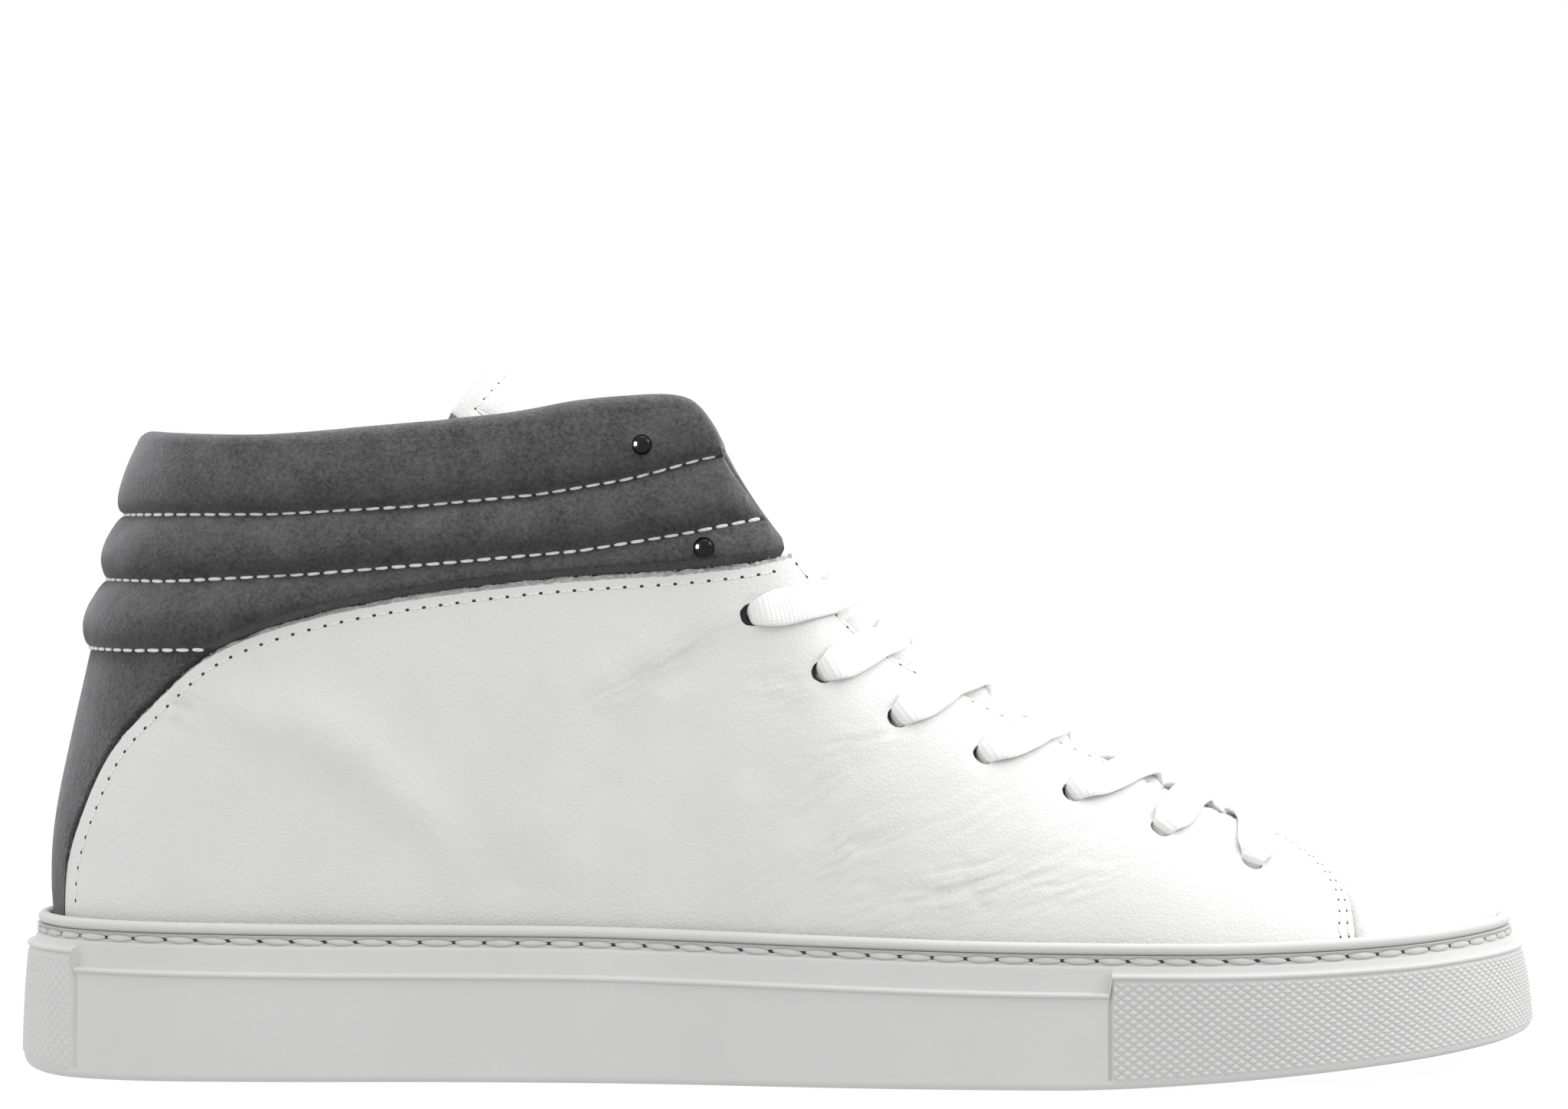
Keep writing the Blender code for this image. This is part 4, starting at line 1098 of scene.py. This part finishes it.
def make_cupsole():
    """The moulded cup: rounded lip, stitch groove, raised band, knurled toe and heel, treaded underside."""
    per_diamond = 8
    s = even_stations(DIAMOND[0] / per_diamond, 1.3)
    x = outline(s)[0][:, 0]
    lean = cup_lean(s)
    bottom, top, floor = cup_bottom(x), cup_top(x), cup_floor(x)
    patch = np.clip((x - 213.9) / 0.4, 0, 1) + np.clip((13.4 - x) / 0.4, 0, 1)
    groove = top - STITCH_DEPTH
    band = top - BAND_DEPTH + PATCH_RISE * patch
    rows = []

    def add(inset, height, knurl=0.0, diamond=0.0):
        rows.append((inset + 0 * x, height + 0 * x, knurl + 0 * x, diamond + 0 * x))

    radius = 1.3 + 1.7 * np.clip((12 - x) / 12, 0, 1)
    for turn in np.radians(np.linspace(0, 90, 6)):
        add(radius * (1 - math.sin(turn)), bottom + radius * (1 - math.cos(turn)))
    low, high = bottom + radius, band - 0.9
    for share in np.linspace(0, 1, 11 * per_diamond + 1)[1:]:
        leaning = 0.2 * share + 0.55 * max(0, share - 0.55) ** 1.5 + 0.7 * lean * share**1.6
        add(leaning, low + share * (high - low), min(1, share * 30, (1 - share) * 20 + 0.02), share * 11)
    inset = rows[-1][0]
    for out, rise in ((-0.25, 0.12), (-0.5, 0.35), (-0.52, 0.75), (-0.3, 0.98), (0.35, 1.1), (0.75, 1.25)):
        add(inset + out, high + rise)
    wall_top = groove - 1.15
    for share in np.linspace(0.1, 1, 8):
        add(inset + 0.8 + (0.35 + 0.15 * lean) * share, high + 1.3 + share * (wall_top - high - 1.3))
    inset = inset + 0.15 * lean
    for out, rise in (
        (0.15, 0.12), (0.5, 0.3), (0.7, 0.6), (0.75, 1.0),
        (0.72, 1.4), (0.5, 1.75), (0.2, 1.98), (0.0, 2.05),
    ):
        add(inset + 1.15 + out, wall_top + rise)
    inset = inset + 0.15 * lean
    lip = top - 1.15
    for turn in np.linspace(-80, 200, 13):
        angle = math.radians(turn)
        add(inset + 2.55 - 1.3 * math.cos(angle), lip + 1.15 * math.sin(angle))
    add(np.maximum(CUP_WALL - 0.1, inset + 3.7), lip - 1.3)
    add(np.maximum(CUP_WALL, inset + 3.7), floor + 4)
    add(CUP_WALL, floor)
    insets, heights, knurls, steps_up = (np.stack(part, 1) for part in zip(*rows))
    points = np.concatenate([outline(s[:, None], insets)[0], heights[..., None]], -1)
    out = outline(s)[1]
    side_x = points[..., 0]
    toe = np.clip((side_x - 214.3) / 0.5, 0, 1)
    heel = np.clip((13.0 - side_x) / 0.5, 0, 1)
    columns, count = points.shape[:2]
    half = columns // 2
    index = np.arange(columns)
    from_toe, from_heel = index - half, np.where(index > half, index - columns, index)
    a = np.where(x > 150, from_toe, from_heel)[:, None] / per_diamond
    diamonds = 1 - 2 * np.maximum(abs((a + steps_up) % 1 - 0.5), abs((a - steps_up) % 1 - 0.5))
    bump = np.clip(diamonds * 1.3, 0, 1) ** 0.8
    push = toe * knurls * (0.46 * bump + 0.32) + heel * knurls * (0.26 * bump + 0.46)
    for place_x, width in ((214.0, 0.35), (13.6, 0.45)):
        push = push - 0.7 * knurls * np.exp(-(((side_x - place_x) / width) ** 2))
    points[..., :2] += out[:, None] * (push - 0.35 * (toe + heel) * knurls)[..., None]
    faces = [grid_faces(columns, count, True)]
    share = np.linspace(0, 1, 110)
    lateral, medial = points[: half + 1, 0], points[(-np.arange(half + 1)) % columns, 0]
    under = lateral[:, None] * (1 - share[:, None]) + medial[:, None] * share[:, None]
    x, y = under[..., 0], under[..., 1]
    tread = herringbone(x, y)
    breadth = np.linalg.norm(medial - lateral, axis=-1)[:, None]
    rim = np.clip(np.minimum(share, 1 - share) * breadth / 2.0 - 1.5, 0, 1)
    ends = np.clip(np.minimum(x - 5, 297 - x) / 2.0, 0, 1)
    under[..., 2] = cup_bottom(x) + 1.3 * tread * rim * ends
    top_floor = np.stack([points[: half + 1, -1], points[(-np.arange(half + 1)) % columns, -1]], 1)
    offset = columns * count
    faces.append(grid_faces(half + 1, len(share))[:, ::-1] + offset)
    faces.append(grid_faces(half + 1, 2) + offset + under.shape[0] * under.shape[1])
    cloud = np.concatenate([points.reshape(-1, 3), under.reshape(-1, 3), top_floor.reshape(-1, 3)])
    made = mesh_object("moulded_cupsole", cloud, np.concatenate(faces), "sole_rubber", weld=0.01, sharp=50)
    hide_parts("cupsole")
    rides(made)

    loop = np.arange(0, STATIONS + 1e-9, 0.05)
    foot, out = outline(loop, 2.12 + 0.85 * cup_lean(loop))
    line = np.column_stack([foot, cup_top(foot[:, 0]) - STITCH_DEPTH - 0.1])
    normals = np.column_stack([out, 0 * loop])
    lens = stitches(
        "sole_stitches", line, normals, SOLE_STITCH_PITCH, 5.7, 1.5, rise=0.42, surface="sole_thread",
        holes=(1.5, 0.6), shape=LENS, slant=-0.04,
    )
    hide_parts("sole_stitch")
    rides(*lens)


def even_stations(toe_spacing, side_spacing):
    """Stations round the whole sole, closer together at the textured toe and heel."""
    fine = np.linspace(0, STATIONS, 7201)
    x = outline(fine)[0]
    step = np.linalg.norm(np.diff(x, axis=0), axis=1)
    middle = (x[1:, 0] + x[:-1, 0]) / 2
    spacing = np.where((middle > 212.5) | (middle < 15), toe_spacing, side_spacing)
    run = np.concatenate([[0], np.cumsum(step / spacing)])
    count = int(run[-1] / 2) * 2
    half = np.linspace(0, run[len(run) // 2], count // 2 + 1)
    lateral = np.interp(half, run, fine)
    return np.concatenate([lateral, STATIONS - lateral[-2:0:-1]])


def herringbone(x, y):
    """Depth, from 0 to 1, of a wavy tread, with a ring of round grooves under the ball of the foot."""
    wave = (y + 3.2 * abs((x / 9.0) % 1 - 0.5) * 2) / 3.6
    zigzag = np.clip((abs(wave % 1 - 0.5) * 2 - 0.62) / 0.2, 0, 1)
    away = np.hypot(x - 216, y + 4)
    rings = np.clip((abs((away / 4.2) % 1 - 0.5) * 2 - 0.62) / 0.2, 0, 1)
    disc = np.clip((25 - away) / 0.6, 0, 1)
    moat = np.clip(1 - abs(away - 26) / 1.4, 0, 1)
    waist = np.clip(abs(x - 128) / 2.5 - 5.6, 0, 1)
    return np.maximum(np.where(disc > 0.5, rings, zigzag * waist), moat)


def make_sockliner():
    """The footbed: a dished, cloth-covered cushion."""
    s = np.linspace(0, TOE, 150)
    share = np.linspace(0, 1, 60)
    lateral, medial = outline(s, 13.6)[0], outline(STATIONS - s, 13.6)[0]
    flat = lateral[:, None] * (1 - share[:, None]) + medial[:, None] * share[:, None]
    edge = np.minimum(share, 1 - share) * np.linalg.norm(medial - lateral, axis=-1)[:, None]
    edge = np.minimum(edge, np.minimum(flat[..., 0] - 13.6, 288.4 - flat[..., 0]))
    dish = np.clip(1 - edge / 9.0, 0, 1) ** 2
    height = last_bottom(flat[..., 0]) + 4.3 + 1.1 * dish * np.clip((150 - flat[..., 0]) / 60, 0.25, 1)
    top = np.concatenate([flat, height[..., None]], -1)
    top[..., 2] += 0.1 * noise(top, 16, 40)
    points = np.concatenate([top.reshape(-1, 3), (top - (0, 0, 0.9)).reshape(-1, 3)])
    faces = grid_faces(len(s), len(share))
    faces = np.concatenate([faces, faces[:, ::-1] + len(s) * len(share)])
    made = mesh_object("footbed_cover", points, faces, "lining_cloth", weld=0.01)
    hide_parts("sockliner_cover")
    rides(made)


# ---------------------------------------------------------------- the upper


def quarter_top(s):
    return np.where(s < 8.99, collar_edge_t(s), 1.0)


def rise_per_t(s):
    """Millimetres along the surface for each unit of t near the top of a side panel."""
    top = quarter_top(s)
    return np.linalg.norm(upper(s, top) - upper(s, top - 0.03), axis=-1) / 0.03


def make_quarters(eyelets):
    """The white side panels: creased leather with raw suede edges, seven punched eyelets and stitching."""
    fine = 1.0
    start = SEAM_S[SEAM_T > 0.09][0]
    columns = [np.linspace(start, 2.2, int(70 * fine)), np.linspace(2.2, 9.0, int(240 * fine))[1:]]
    columns = np.concatenate([*columns, np.linspace(9.0, 14.1, int(270 * fine))[1:]])
    top = quarter_top(columns)[:, None]
    skived = (RAW_EDGE / rise_per_t(columns))[:, None] * np.where(columns < 8.99, 1.0, 0.45)[:, None]
    body = rows_closer_to_top(int(180 * fine))
    t = np.concatenate([(top - skived) * body, top - skived * np.array([0.8, 0.55, 0.3, 0.0])], 1)
    raw = np.zeros(t.shape, bool)
    raw[:, len(body) - 1 :] = True
    drop = np.concatenate([0 * body, [0.3, 0.55, 0.8, 1.05]])
    lean = np.clip((columns - 12.2) / 1.9, 0, 1)[:, None] * (vamp_edge_s(t) - 14.1)
    s = columns[:, None] + lean
    for side, word in ((-1, "lateral"), (1, "medial")):
        at, up = both(side, s, t)
        points = layer(at, up)
        normals = upper_frame(at, up)[0]
        lower = drop * (0.8 + 0.5 * noise(points, 1.1, 30)) + 0.25 * noise(points, 0.7, 31) * (drop > 0)
        lift = leather_relief(points) * edge_roundness(at, up) - lower
        wander = upper_frame(at, up)[1] * (0.28 * noise(points, 1.6, 32) * (drop > 0.5))[..., None]
        points = points + normals * lift[..., None] + wander
        places = [eyelets[side, k][:2] for k in range(len(EYELETS))]
        punch = cutters("punch", places, EYELET_RADIUS, 8, "suede_edge")
        marked = raw if side < 0 else raw[::-1]
        name = "quarter_" + word + "_leather"
        made = panel(name, points, LEATHER, "white_leather", "suede_edge", holes=punch, raw=marked)
        discard(punch)
        rough_edges(made)
        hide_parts("quarter_" + word)
        rides(made)
        quarter_seams(side, word)
        make_fibres(side, word)
        make_eyelet_tape(eyelets, side, word)


def edge_roundness(s, t):
    """0 at the panel's sewn edges, where folds die out, rising to 1 a few millimetres inside."""
    side = one_side(s)
    to_top = (quarter_top(side) - t) * MM_PER_T - RAW_EDGE
    to_front = (vamp_edge_s(t) - side) * 17
    return np.clip(np.minimum(np.where(side < 1.5, 9, to_top), to_front) / 2.5, 0, 1) ** 0.7


def rough_edges(made):
    """Frays the cut edges a little: every point of a suede-faced rim moves by a fraction of a millimetre."""
    mesh = made.data
    rim = np.zeros(len(mesh.vertices), bool)
    for face in mesh.polygons:
        if face.material_index == 1:
            rim[list(face.vertices)] = True
    co = np.empty(len(mesh.vertices) * 3)
    mesh.vertices.foreach_get("co", co)
    co = co.reshape(-1, 3)
    shake = np.stack([noise(co / MM, 0.7, 50 + k) for k in range(3)], -1)
    co += np.where(rim[:, None], 0.1, 0.0) * shake * MM
    mesh.vertices.foreach_set("co", co.ravel())
    mesh.update()


def make_fibres(side, word):
    """Loose suede fibres along the raw upper edge of a side panel."""
    count = 620
    pick = np.random.default_rng(5 if side < 0 else 6)
    s = np.interp(pick.uniform(0, 1, count) ** 0.8, (0, 1), (1.5, 8.9))
    t = collar_edge_t(s)
    points, normals = on_side(s, t, side, -0.9)
    ups = upper_frame(on(side, s), t)[1]
    points = points + ups * pick.uniform(-0.9, 0.1, count)[:, None]
    points = points + normals * pick.uniform(0, 0.5, count)[:, None]
    loose = pick.normal(0, 1, (count, 3))
    turns = axes_at(normals + 0.8 * loose, ups * 0.6 + loose)
    sizes = np.column_stack([pick.uniform(0.18, 0.6, count), np.full((count, 2), 0.045)])
    made = scattered(f"suede_fibres_{word}", BEAD, BEAD_FACES, points, turns, sizes, "suede_fibre")
    rides(made)


def make_eyelet_tape(eyelets, side, word):
    """The reinforcement tape behind the eyelets, coloured near-black as painted shade inside the eyelet
    holes; its smaller slots grip the lace.
    """
    s = np.linspace(7.75, 13.72, 110)
    row = np.interp(s, *([eyelets[-1, k][column] for k in range(len(EYELETS))] for column in (2, 3)))
    width = 4.6 / rise_per_t(s)
    t = row[:, None] + width[:, None] * np.linspace(-1, 1, 16)
    at, up = both(side, s[:, None] + 0 * t, t)
    punch = []
    for number, near in enumerate((*LACE_OVER, LACE_BAR)):
        point, normal = eyelets[side, number][:2]
        ahead = upper(on(side, near), 1.0) - point
        ahead = unit(ahead - normal * (ahead @ normal))
        punch.append((point + ahead * 0.65, normal))
    holes = cutters("slots", punch, 1.75, 9, "eyelet_tape")
    points = layer(at, up, LEATHER + 0.18)
    made = panel(f"eyelet_tape_{word}", points, 0.35, "eyelet_tape", holes=holes, edge=0)
    discard(holes)
    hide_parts("eyestay_" + word)
    rides(made)


def both(side, s, t):
    return (s, t) if side < 0 else ((STATIONS - s)[::-1], t[::-1])


def rows_closer_to_top(count):
    share = np.linspace(0, 1, count)
    return 1 - (1 - share) ** 1.25


def on_side(s, t, side, lift=0.0):
    at = on(side, s)
    points, normals = upper(at, t), upper_frame(at, t)[0]
    height = np.asarray(lift) + leather_relief(points) * edge_roundness(at, t)
    return points + normals * height[..., None], normals


def shifted(line, distance):
    """A side-view line moved to its left by a distance."""
    line = np.asarray(line, float)
    run = unit(np.gradient(line, axis=0))
    return line + np.stack([-run[:, 1], run[:, 0]], -1) * distance


def quarter_seams(side, word):
    """Stitching of a side panel: below the collar, along the throat and twice along the front edge."""
    name = "quarter_" + word + "_"
    pieces = []
    line = along(shifted(along(COLLAR_SEAM, 1.0), -2.6)[12:], 1.0)
    line = line[(line[:, 1] > 33) & (line[:, 0] < 151)]
    points, normals = on_side(*locate(*line.T), side, 0.02)
    pieces += stitches(name + "collar_seam", points, normals, 3.2, 2.5, 0.55, rise=0.3, holes=HOLE_SHADE_SIZE)
    s = np.linspace(9.05, 14.25, 90)
    points, normals = on_side(s, 1 - 1.9 / rise_per_t(s), side, 0.02)
    pieces += stitches(name + "throat_seam", points, normals, 3.2, 2.5, 0.55, rise=0.3, holes=HOLE_SHADE_SIZE)
    t = np.linspace(0.16, 0.93, 60)
    for number, inwards in enumerate((0.085, 0.2)):
        points, normals = on_side(vamp_edge_s(t) - inwards, t, side, 0.02)
        seam = f"{name}front_seam_{number + 1}"
        pieces += stitches(seam, points, normals, 3.0, 2.3, 0.55, rise=0.3, holes=(0.55, 0.45))
    rides(*pieces)


def make_vamp():
    fine = 1.0
    rows = np.linspace(0, 1, int(64 * fine))
    start = vamp_edge_s(rows) - 0.38
    across = np.linspace(0, 1, int(95 * fine))
    half = start + across[:, None] * (TOE - start)
    s = np.concatenate([half, STATIONS - half[-2::-1]])
    t = rows + 0 * s
    inwards = one_side(s) - vamp_edge_s(t)
    depth = 2.0 * (1 - np.clip((inwards - 0.02) / 0.16, 0, 1) ** 0.6)
    points = layer(s, t, depth)
    normals = upper_frame(s, t)[0]
    relief = 0.1 * noise(points, 18, 8) + 0.04 * noise(points, 5, 9)
    points = points + normals * (relief * np.clip((1 - t) * 8, 0, 1))[..., None]
    made = panel("toe_leather", points, 1.1, "white_leather", "suede_edge")
    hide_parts("vamp")
    rides(made)


def collar_lines(s):
    """t of the lower edge, the three quilting rows and the top, for each station."""
    edge = collar_edge_t(s)
    rows = [np.maximum(row_t(one_side(s), line), edge) for line in QUILT_ROWS]
    return edge, rows


def quilted_height(s, t):
    """How far the collar stands proud: three puffs between the quilting rows and the seam, none below."""
    edge, (first, second, third) = collar_lines(s)
    side = one_side(s)
    pinch = np.clip((9.0 - side) / 1.3, 0, 1)[:, None] ** 0.7
    forwards = np.interp(side, (0, 2, 5, 8.85), (0.9, 0.98, 0.98, 0.85))[:, None]
    height = np.zeros_like(t)
    for low, high, lean in (
        (first, 0 * first + 1.05, 0.62),
        (second, first, 0.85),
        (np.maximum(third, edge), second, 0.85),
    ):
        low, high = low[:, None], high[:, None]
        share = np.clip((t - low) / np.maximum(high - low, 1e-3), 0, 1) ** lean
        thick = np.clip((high - low) / 0.11, 0.1, 1)
        height = np.maximum(height, thick * np.clip(np.sin(math.pi * share), 0, 1) ** 0.75 * (t > low))
    height = height * COLLAR_PAD * forwards
    points = upper(s[:, None] + 0 * t, t)
    near_row = np.zeros_like(t)
    for row, end in zip((first, second, third), QUILT_ENDS):
        away = abs(t - row[:, None]) * MM_PER_T
        near_row = np.maximum(near_row, np.exp(-((away / 3.6) ** 2)) * (side < end)[:, None])
    along_mm = points @ np.array([1.0, 0.9, 0.0])
    gathers = noise(np.stack([along_mm, points[..., 2] * 0.3, 0 * along_mm], -1), 1.9, 12)
    puckers = 0.3 * gathers + 0.3 * noise(points * (1, 1, 0.3), 5.0, 13)
    height = height * (1 + 0.07 * noise(points, 18, 14)) + puckers * near_row * np.clip(height * 1.2, 0, 1)
    counter = 1.1 * np.exp(-(((points[..., 2] - 44) / 17) ** 2)) * np.clip((1.7 - side) / 0.8, 0, 1)[:, None]
    return height * pinch + counter * np.clip((third[:, None] - t) * 12, 0, 1)


def full_corner(points):
    """Points of the collar, with the upper front corner of each wing filled out forwards and up."""
    gap = points[..., [0, 2]] - (131, 128)
    down_edge, outwards = gap @ (0.67, -0.74), np.minimum(gap @ (0.74, 0.67), 0)
    push = 3.0 * np.exp(-((down_edge / np.where(down_edge < 0, 7, 17)) ** 2) - (outwards / 9) ** 2)
    return points + push[..., None] * (0.72, 0, 0.69)


def collar_grid(fine):
    """(stations, t rows) of the collar's outer face, closer together near the quilting rows."""
    half = np.concatenate([np.linspace(0, 1.3, int(30 * fine)), np.linspace(1.3, 8.85, int(190 * fine))[1:]])
    s = np.concatenate([-half[:0:-1], half])
    edge, rows = collar_lines(s)
    low = np.clip(edge - 0.05, 0, 1)
    knots = [low, np.maximum(rows[2], low + 0.01), np.maximum(rows[1], low + 0.02), rows[0], 1 + 0 * s]
    knots = np.minimum(np.stack(knots, 1), np.array([0.96, 0.97, 0.98, 0.99, 1.0]))
    knots = np.maximum.accumulate(knots, axis=1)
    parts = []
    for k, count in enumerate((26, 26, 28, 26)):
        share = np.linspace(0, 1, int(count * fine) + 2)
        parts.append(knots[:, k : k + 1] * (1 - share) + knots[:, k + 1 : k + 2] * share)
    return s, edge, np.concatenate([parts[0], *(part[:, 1:] for part in parts[1:])], 1)


def make_collar(stud_places):
    """The quilted nubuck collar: sewn channels, a rolled top, and a plain strip down the heel."""
    fine = 1.0
    s, edge, t = collar_grid(fine)
    pinch = np.clip((9.0 - abs(s)) / 1.4, 0, 1)
    above_edge = (t - edge[:, None]) * MM_PER_T
    at_sides = np.clip((abs(s) - 0.9) / 0.25, 0, 1)[:, None]
    under = 2.0 * np.clip(0.75 - above_edge / 1.6, 0, 1) * at_sides
    lift = quilted_height(s, t)
    grid_s = s[:, None] + 0 * t
    outer = layer(grid_s, t, under) + upper_frame(grid_s, t)[0] * lift[..., None]
    normal, up = upper_frame(s, 1.0 + 0 * s)
    radius = 0.8 + (ROLL_RADIUS - 0.8) * pinch
    stand = lift[:, -1]
    roll = []
    for turn in np.linspace(0, 180, int(14 * fine) + 2)[1:]:
        angle = math.radians(turn)
        out = stand - radius + radius * math.cos(angle)
        roll.append(layer(s, 1.0 + 0 * s, -out) + up * (radius * math.sin(angle))[:, None])
    inner_depth = 2 * radius - stand
    inside = [
        layer(s, 1 - share * 0.16 * (1 - edge), inner_depth + 0.25 * share)
        for share in np.linspace(0.1, 1, int(10 * fine) + 2)
    ]
    points = np.concatenate([outer, np.stack(roll, 1), np.stack(inside, 1)], 1)
    points = full_corner(points) + 0.06 * np.stack([noise(points, 5, 20 + k) for k in range(3)], -1)
    holes = cutters("stud_holes", stud_places, 1.1, 9, "grey_nubuck", sides=16)
    made = panel("quilted_collar", points, 1.1, "grey_nubuck", holes=holes, edge=0)
    discard(holes)
    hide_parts("collar_panel", "collar_foam")
    rides(made)
    bpy.data.collections["lit by the crest"].objects.link(made)
    collar_seams()


def collar_seams():
    """White top-stitching along the quilting rows, round the heel from one collar wing to the other."""
    pieces = []
    for number, (line, end) in enumerate(zip(QUILT_ROWS, QUILT_ENDS)):
        s = np.linspace(-end, end, 600)
        t = row_t(abs(s), line)
        inside = (t < 0.985) & (t > collar_edge_t(s) + 0.006)
        s, t = s[inside], t[inside]
        lift = quilted_height(s, t[:, None])[:, 0]
        points = full_corner(layer(s, t, -0.2 - lift))
        normals = upper_frame(s, t)[0]
        row = f"quilting_row_{number + 1}"
        pieces += stitches(row, points, normals, STITCH_PITCH, 2.65, 0.8, rise=0.55, holes=(1.0, 0.8))
    rides(*pieces)


def make_linings(eyelets, stud_places):
    """Cloth lining of heel and quarters, and of the toe."""
    fine = 1.0
    half = np.linspace(0, 14.75, int(150 * fine))
    s = np.concatenate([-half[:0:-1], half])
    rows = np.linspace(0, 1, int(40 * fine))
    top = np.interp(abs(s), (8.4, 9.0, 14.1, 14.2), (0.95, 0.995, 0.995, 0.8))
    t = top[:, None] * rows
    lean = np.clip((abs(s) - 12.2) / 1.9, 0, 1)[:, None] * (vamp_edge_s(t) - 14.1)
    grid_s = np.sign(s)[:, None] * (abs(s)[:, None] + lean)
    bound = np.clip((t - 0.945) / 0.035, 0, 1) * np.clip((abs(grid_s) - 8.9) / 0.3, 0, 1)
    points = layer(grid_s, t, lining_depth(grid_s) - 1.7 * bound)
    points = points + upper_frame(grid_s, t)[0] * (0.15 * noise(points, 14, 25))[..., None]
    places = [eyelets[side, k][:2] for side in (-1, 1) for k in range(len(EYELETS))]
    punch = cutters("punch", places, EYELET_RADIUS, 16, "lining_cloth", sides=20)
    stud_holes = cutters("stud_holes", stud_places, 1.3, 20, "lining_cloth", sides=12)
    made = panel("side_lining", points, LINING, "lining_cloth", edge=0, holes=punch)
    cut = made.modifiers.new("studs", "BOOLEAN")
    cut.object = stud_holes
    cut.solver = "EXACT"
    finished(made)
    discard(punch, stud_holes)
    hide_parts("quarter_lining")
    half = np.linspace(15.4, TOE, int(30 * fine))
    s = np.concatenate([half, STATIONS - half[-2::-1]])
    grid_s, grid_t = np.meshgrid(s, rows, indexing="ij")
    toe = panel("toe_lining", layer(grid_s, grid_t, lining_depth(grid_s)), LINING, "lining_cloth", edge=0)
    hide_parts("vamp_lining")
    rides(made, toe)


# ---------------------------------------------------------------- tongue and studs


def make_tongue():
    """Padded leather tongue: skin, foam and cloth lining, each one curved piece from the laced part to the
    flap.
    """
    fine = 1.0
    per_v, per_u, seam = 24, 15, 3.4  # mm to a unit of v and of u; the seam's distance from the edge
    hinge = tongue(TONGUE_HINGE, 0.0, 1.0)
    towards = unit(tongue(TONGUE_HINGE + 0.5, 0.0, 1.0) - hinge)
    layers = (
        ("skin", "leather", 0.0, 1.2, 1.0, "white_leather", "white_leather"),
        ("padding", "foam", 1.45, 2.4, 0.965, "foam", "foam"),
        ("inside", "lining", 4.05, 0.9, 0.99, "lining_cloth", "lining_leather"),
    )
    across, length = np.linspace(-1, 1, int(70 * fine)), np.linspace(0, TONGUE_END, int(150 * fine))
    u, v = np.meshgrid(length, across, indexing="ij")
    pieces = []
    for name, node, depth, thickness, width, surface, slot in layers:
        first = 0.0 if depth == 0 else 1.0
        at = first + u * (1 - first / TONGUE_END)
        edge = np.minimum((1 - abs(v)) * per_v, (TONGUE_END - at) * per_u)
        swell = 0.45 * np.clip((edge - 3.6) / 7, 0, 1) ** 0.7 - 0.35 * np.exp(-(((edge - seam) / 0.9) ** 2))
        outer = tongue(at, -v * width, depth - (swell if depth == 0 else 0))
        outer += 0.12 * noise(outer, 12, 60)[..., None] * tongue_normal(at, -v * width)
        surfaces, bevel = ((surface, "suede_edge"), 0.25) if depth == 0 else ((surface,), 0)
        made = panel("tongue_" + name, outer, thickness, *surfaces, edge=bevel)
        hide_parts(f"tongue_{node}_base", f"tongue_{node}_flap")
        pieces.append(made)
    corner, end_u = seam / per_v, TONGUE_END - seam / per_u
    side = np.linspace(6.2, end_u, 60)
    end_row = np.linspace(-1 + corner, 1 - corner, 60)
    runs = ((side, 0 * side - 1 + corner), (0 * end_row + end_u, end_row), (side, 0 * side + 1 - corner))
    for number, (at, where) in enumerate(runs):
        points, normals = tongue(at, where, 0.32), tongue_normal(at, where)
        row = f"tongue_seam_{number + 1}"
        pieces += stitches(row, points, normals, 3.2, 2.6, 0.5, rise=0.4, holes=(0.5, 0.35))
    for made in pieces:
        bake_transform(made)


def stud_spots():
    s, t = locate(*np.array(STUDS).T)
    spots = []
    for side in (-1, 1):
        for number in range(2):
            at = on(side, s[number])
            spots.append((side, number, upper(at, t[number]), upper_frame(at, t[number])[0]))
    return spots


def make_studs(spots):
    """Polished domed studs on a thin flange, riveted to washers inside the lining."""
    for side, number, point, normal in spots:
        name = ("lateral_" if side < 0 else "medial_") + ("upper", "lower")[number]
        base = 1.75 if number == 0 else 1.5
        dome = [(2.1 * math.cos(a), base + 0.4 + 2.0 * math.sin(a)) for a in np.linspace(0, math.pi / 2, 10)]
        profile = [(0, -8.3), (0.5, -8.25), (0.95, -8.0), (0.95, base - 0.3), (1.9, base - 0.2), (2.1, base)]
        profile += dome
        stud = turned("stud_" + name, profile, point, normal, "dark_chrome", steps=40)
        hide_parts("lace_stud_" + name)
        bpy.data.collections["lit by the glint"].objects.link(stud)
        ring = [(1.25, 0.1), (1.35, 0), (3.2, 0), (3.35, 0.15), (3.3, 0.4), (2.6, 0.7), (1.35, 0.75)]
        ring += [(1.25, 0.65), (1.25, 0.1)]
        washer = turned("washer_" + name, ring, point - normal * 6.5, -normal, "dark_chrome", steps=32)
        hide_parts("stud_washer_" + name)
        rides(stud, washer)


def dress_hidden_nodes():
    """Gives every CAD node that stays its procedural material."""
    slots = {entry["node"]: entry["material_slot"] for entry in frame["record"]["subparts"]}
    for node, slot_name in slots.items():
        made = bpy.data.objects.get(node)
        if made is not None and made.type == "MESH":
            for index in range(len(made.material_slots)):
                made.material_slots[index].material = MATERIALS[slot_name]


MATERIALS = make_materials()
make_stage()
EYES = eyelet_places()
STUD_SPOTS = stud_spots()
STUD_PLACES = [(point, normal) for _, _, point, normal in STUD_SPOTS]
make_lace(EYES)
make_cupsole()
make_sockliner()
make_quarters(EYES)
make_vamp()
make_collar(STUD_PLACES)
make_linings(EYES, STUD_PLACES)
make_tongue()
make_studs(STUD_SPOTS)
dress_hidden_nodes()
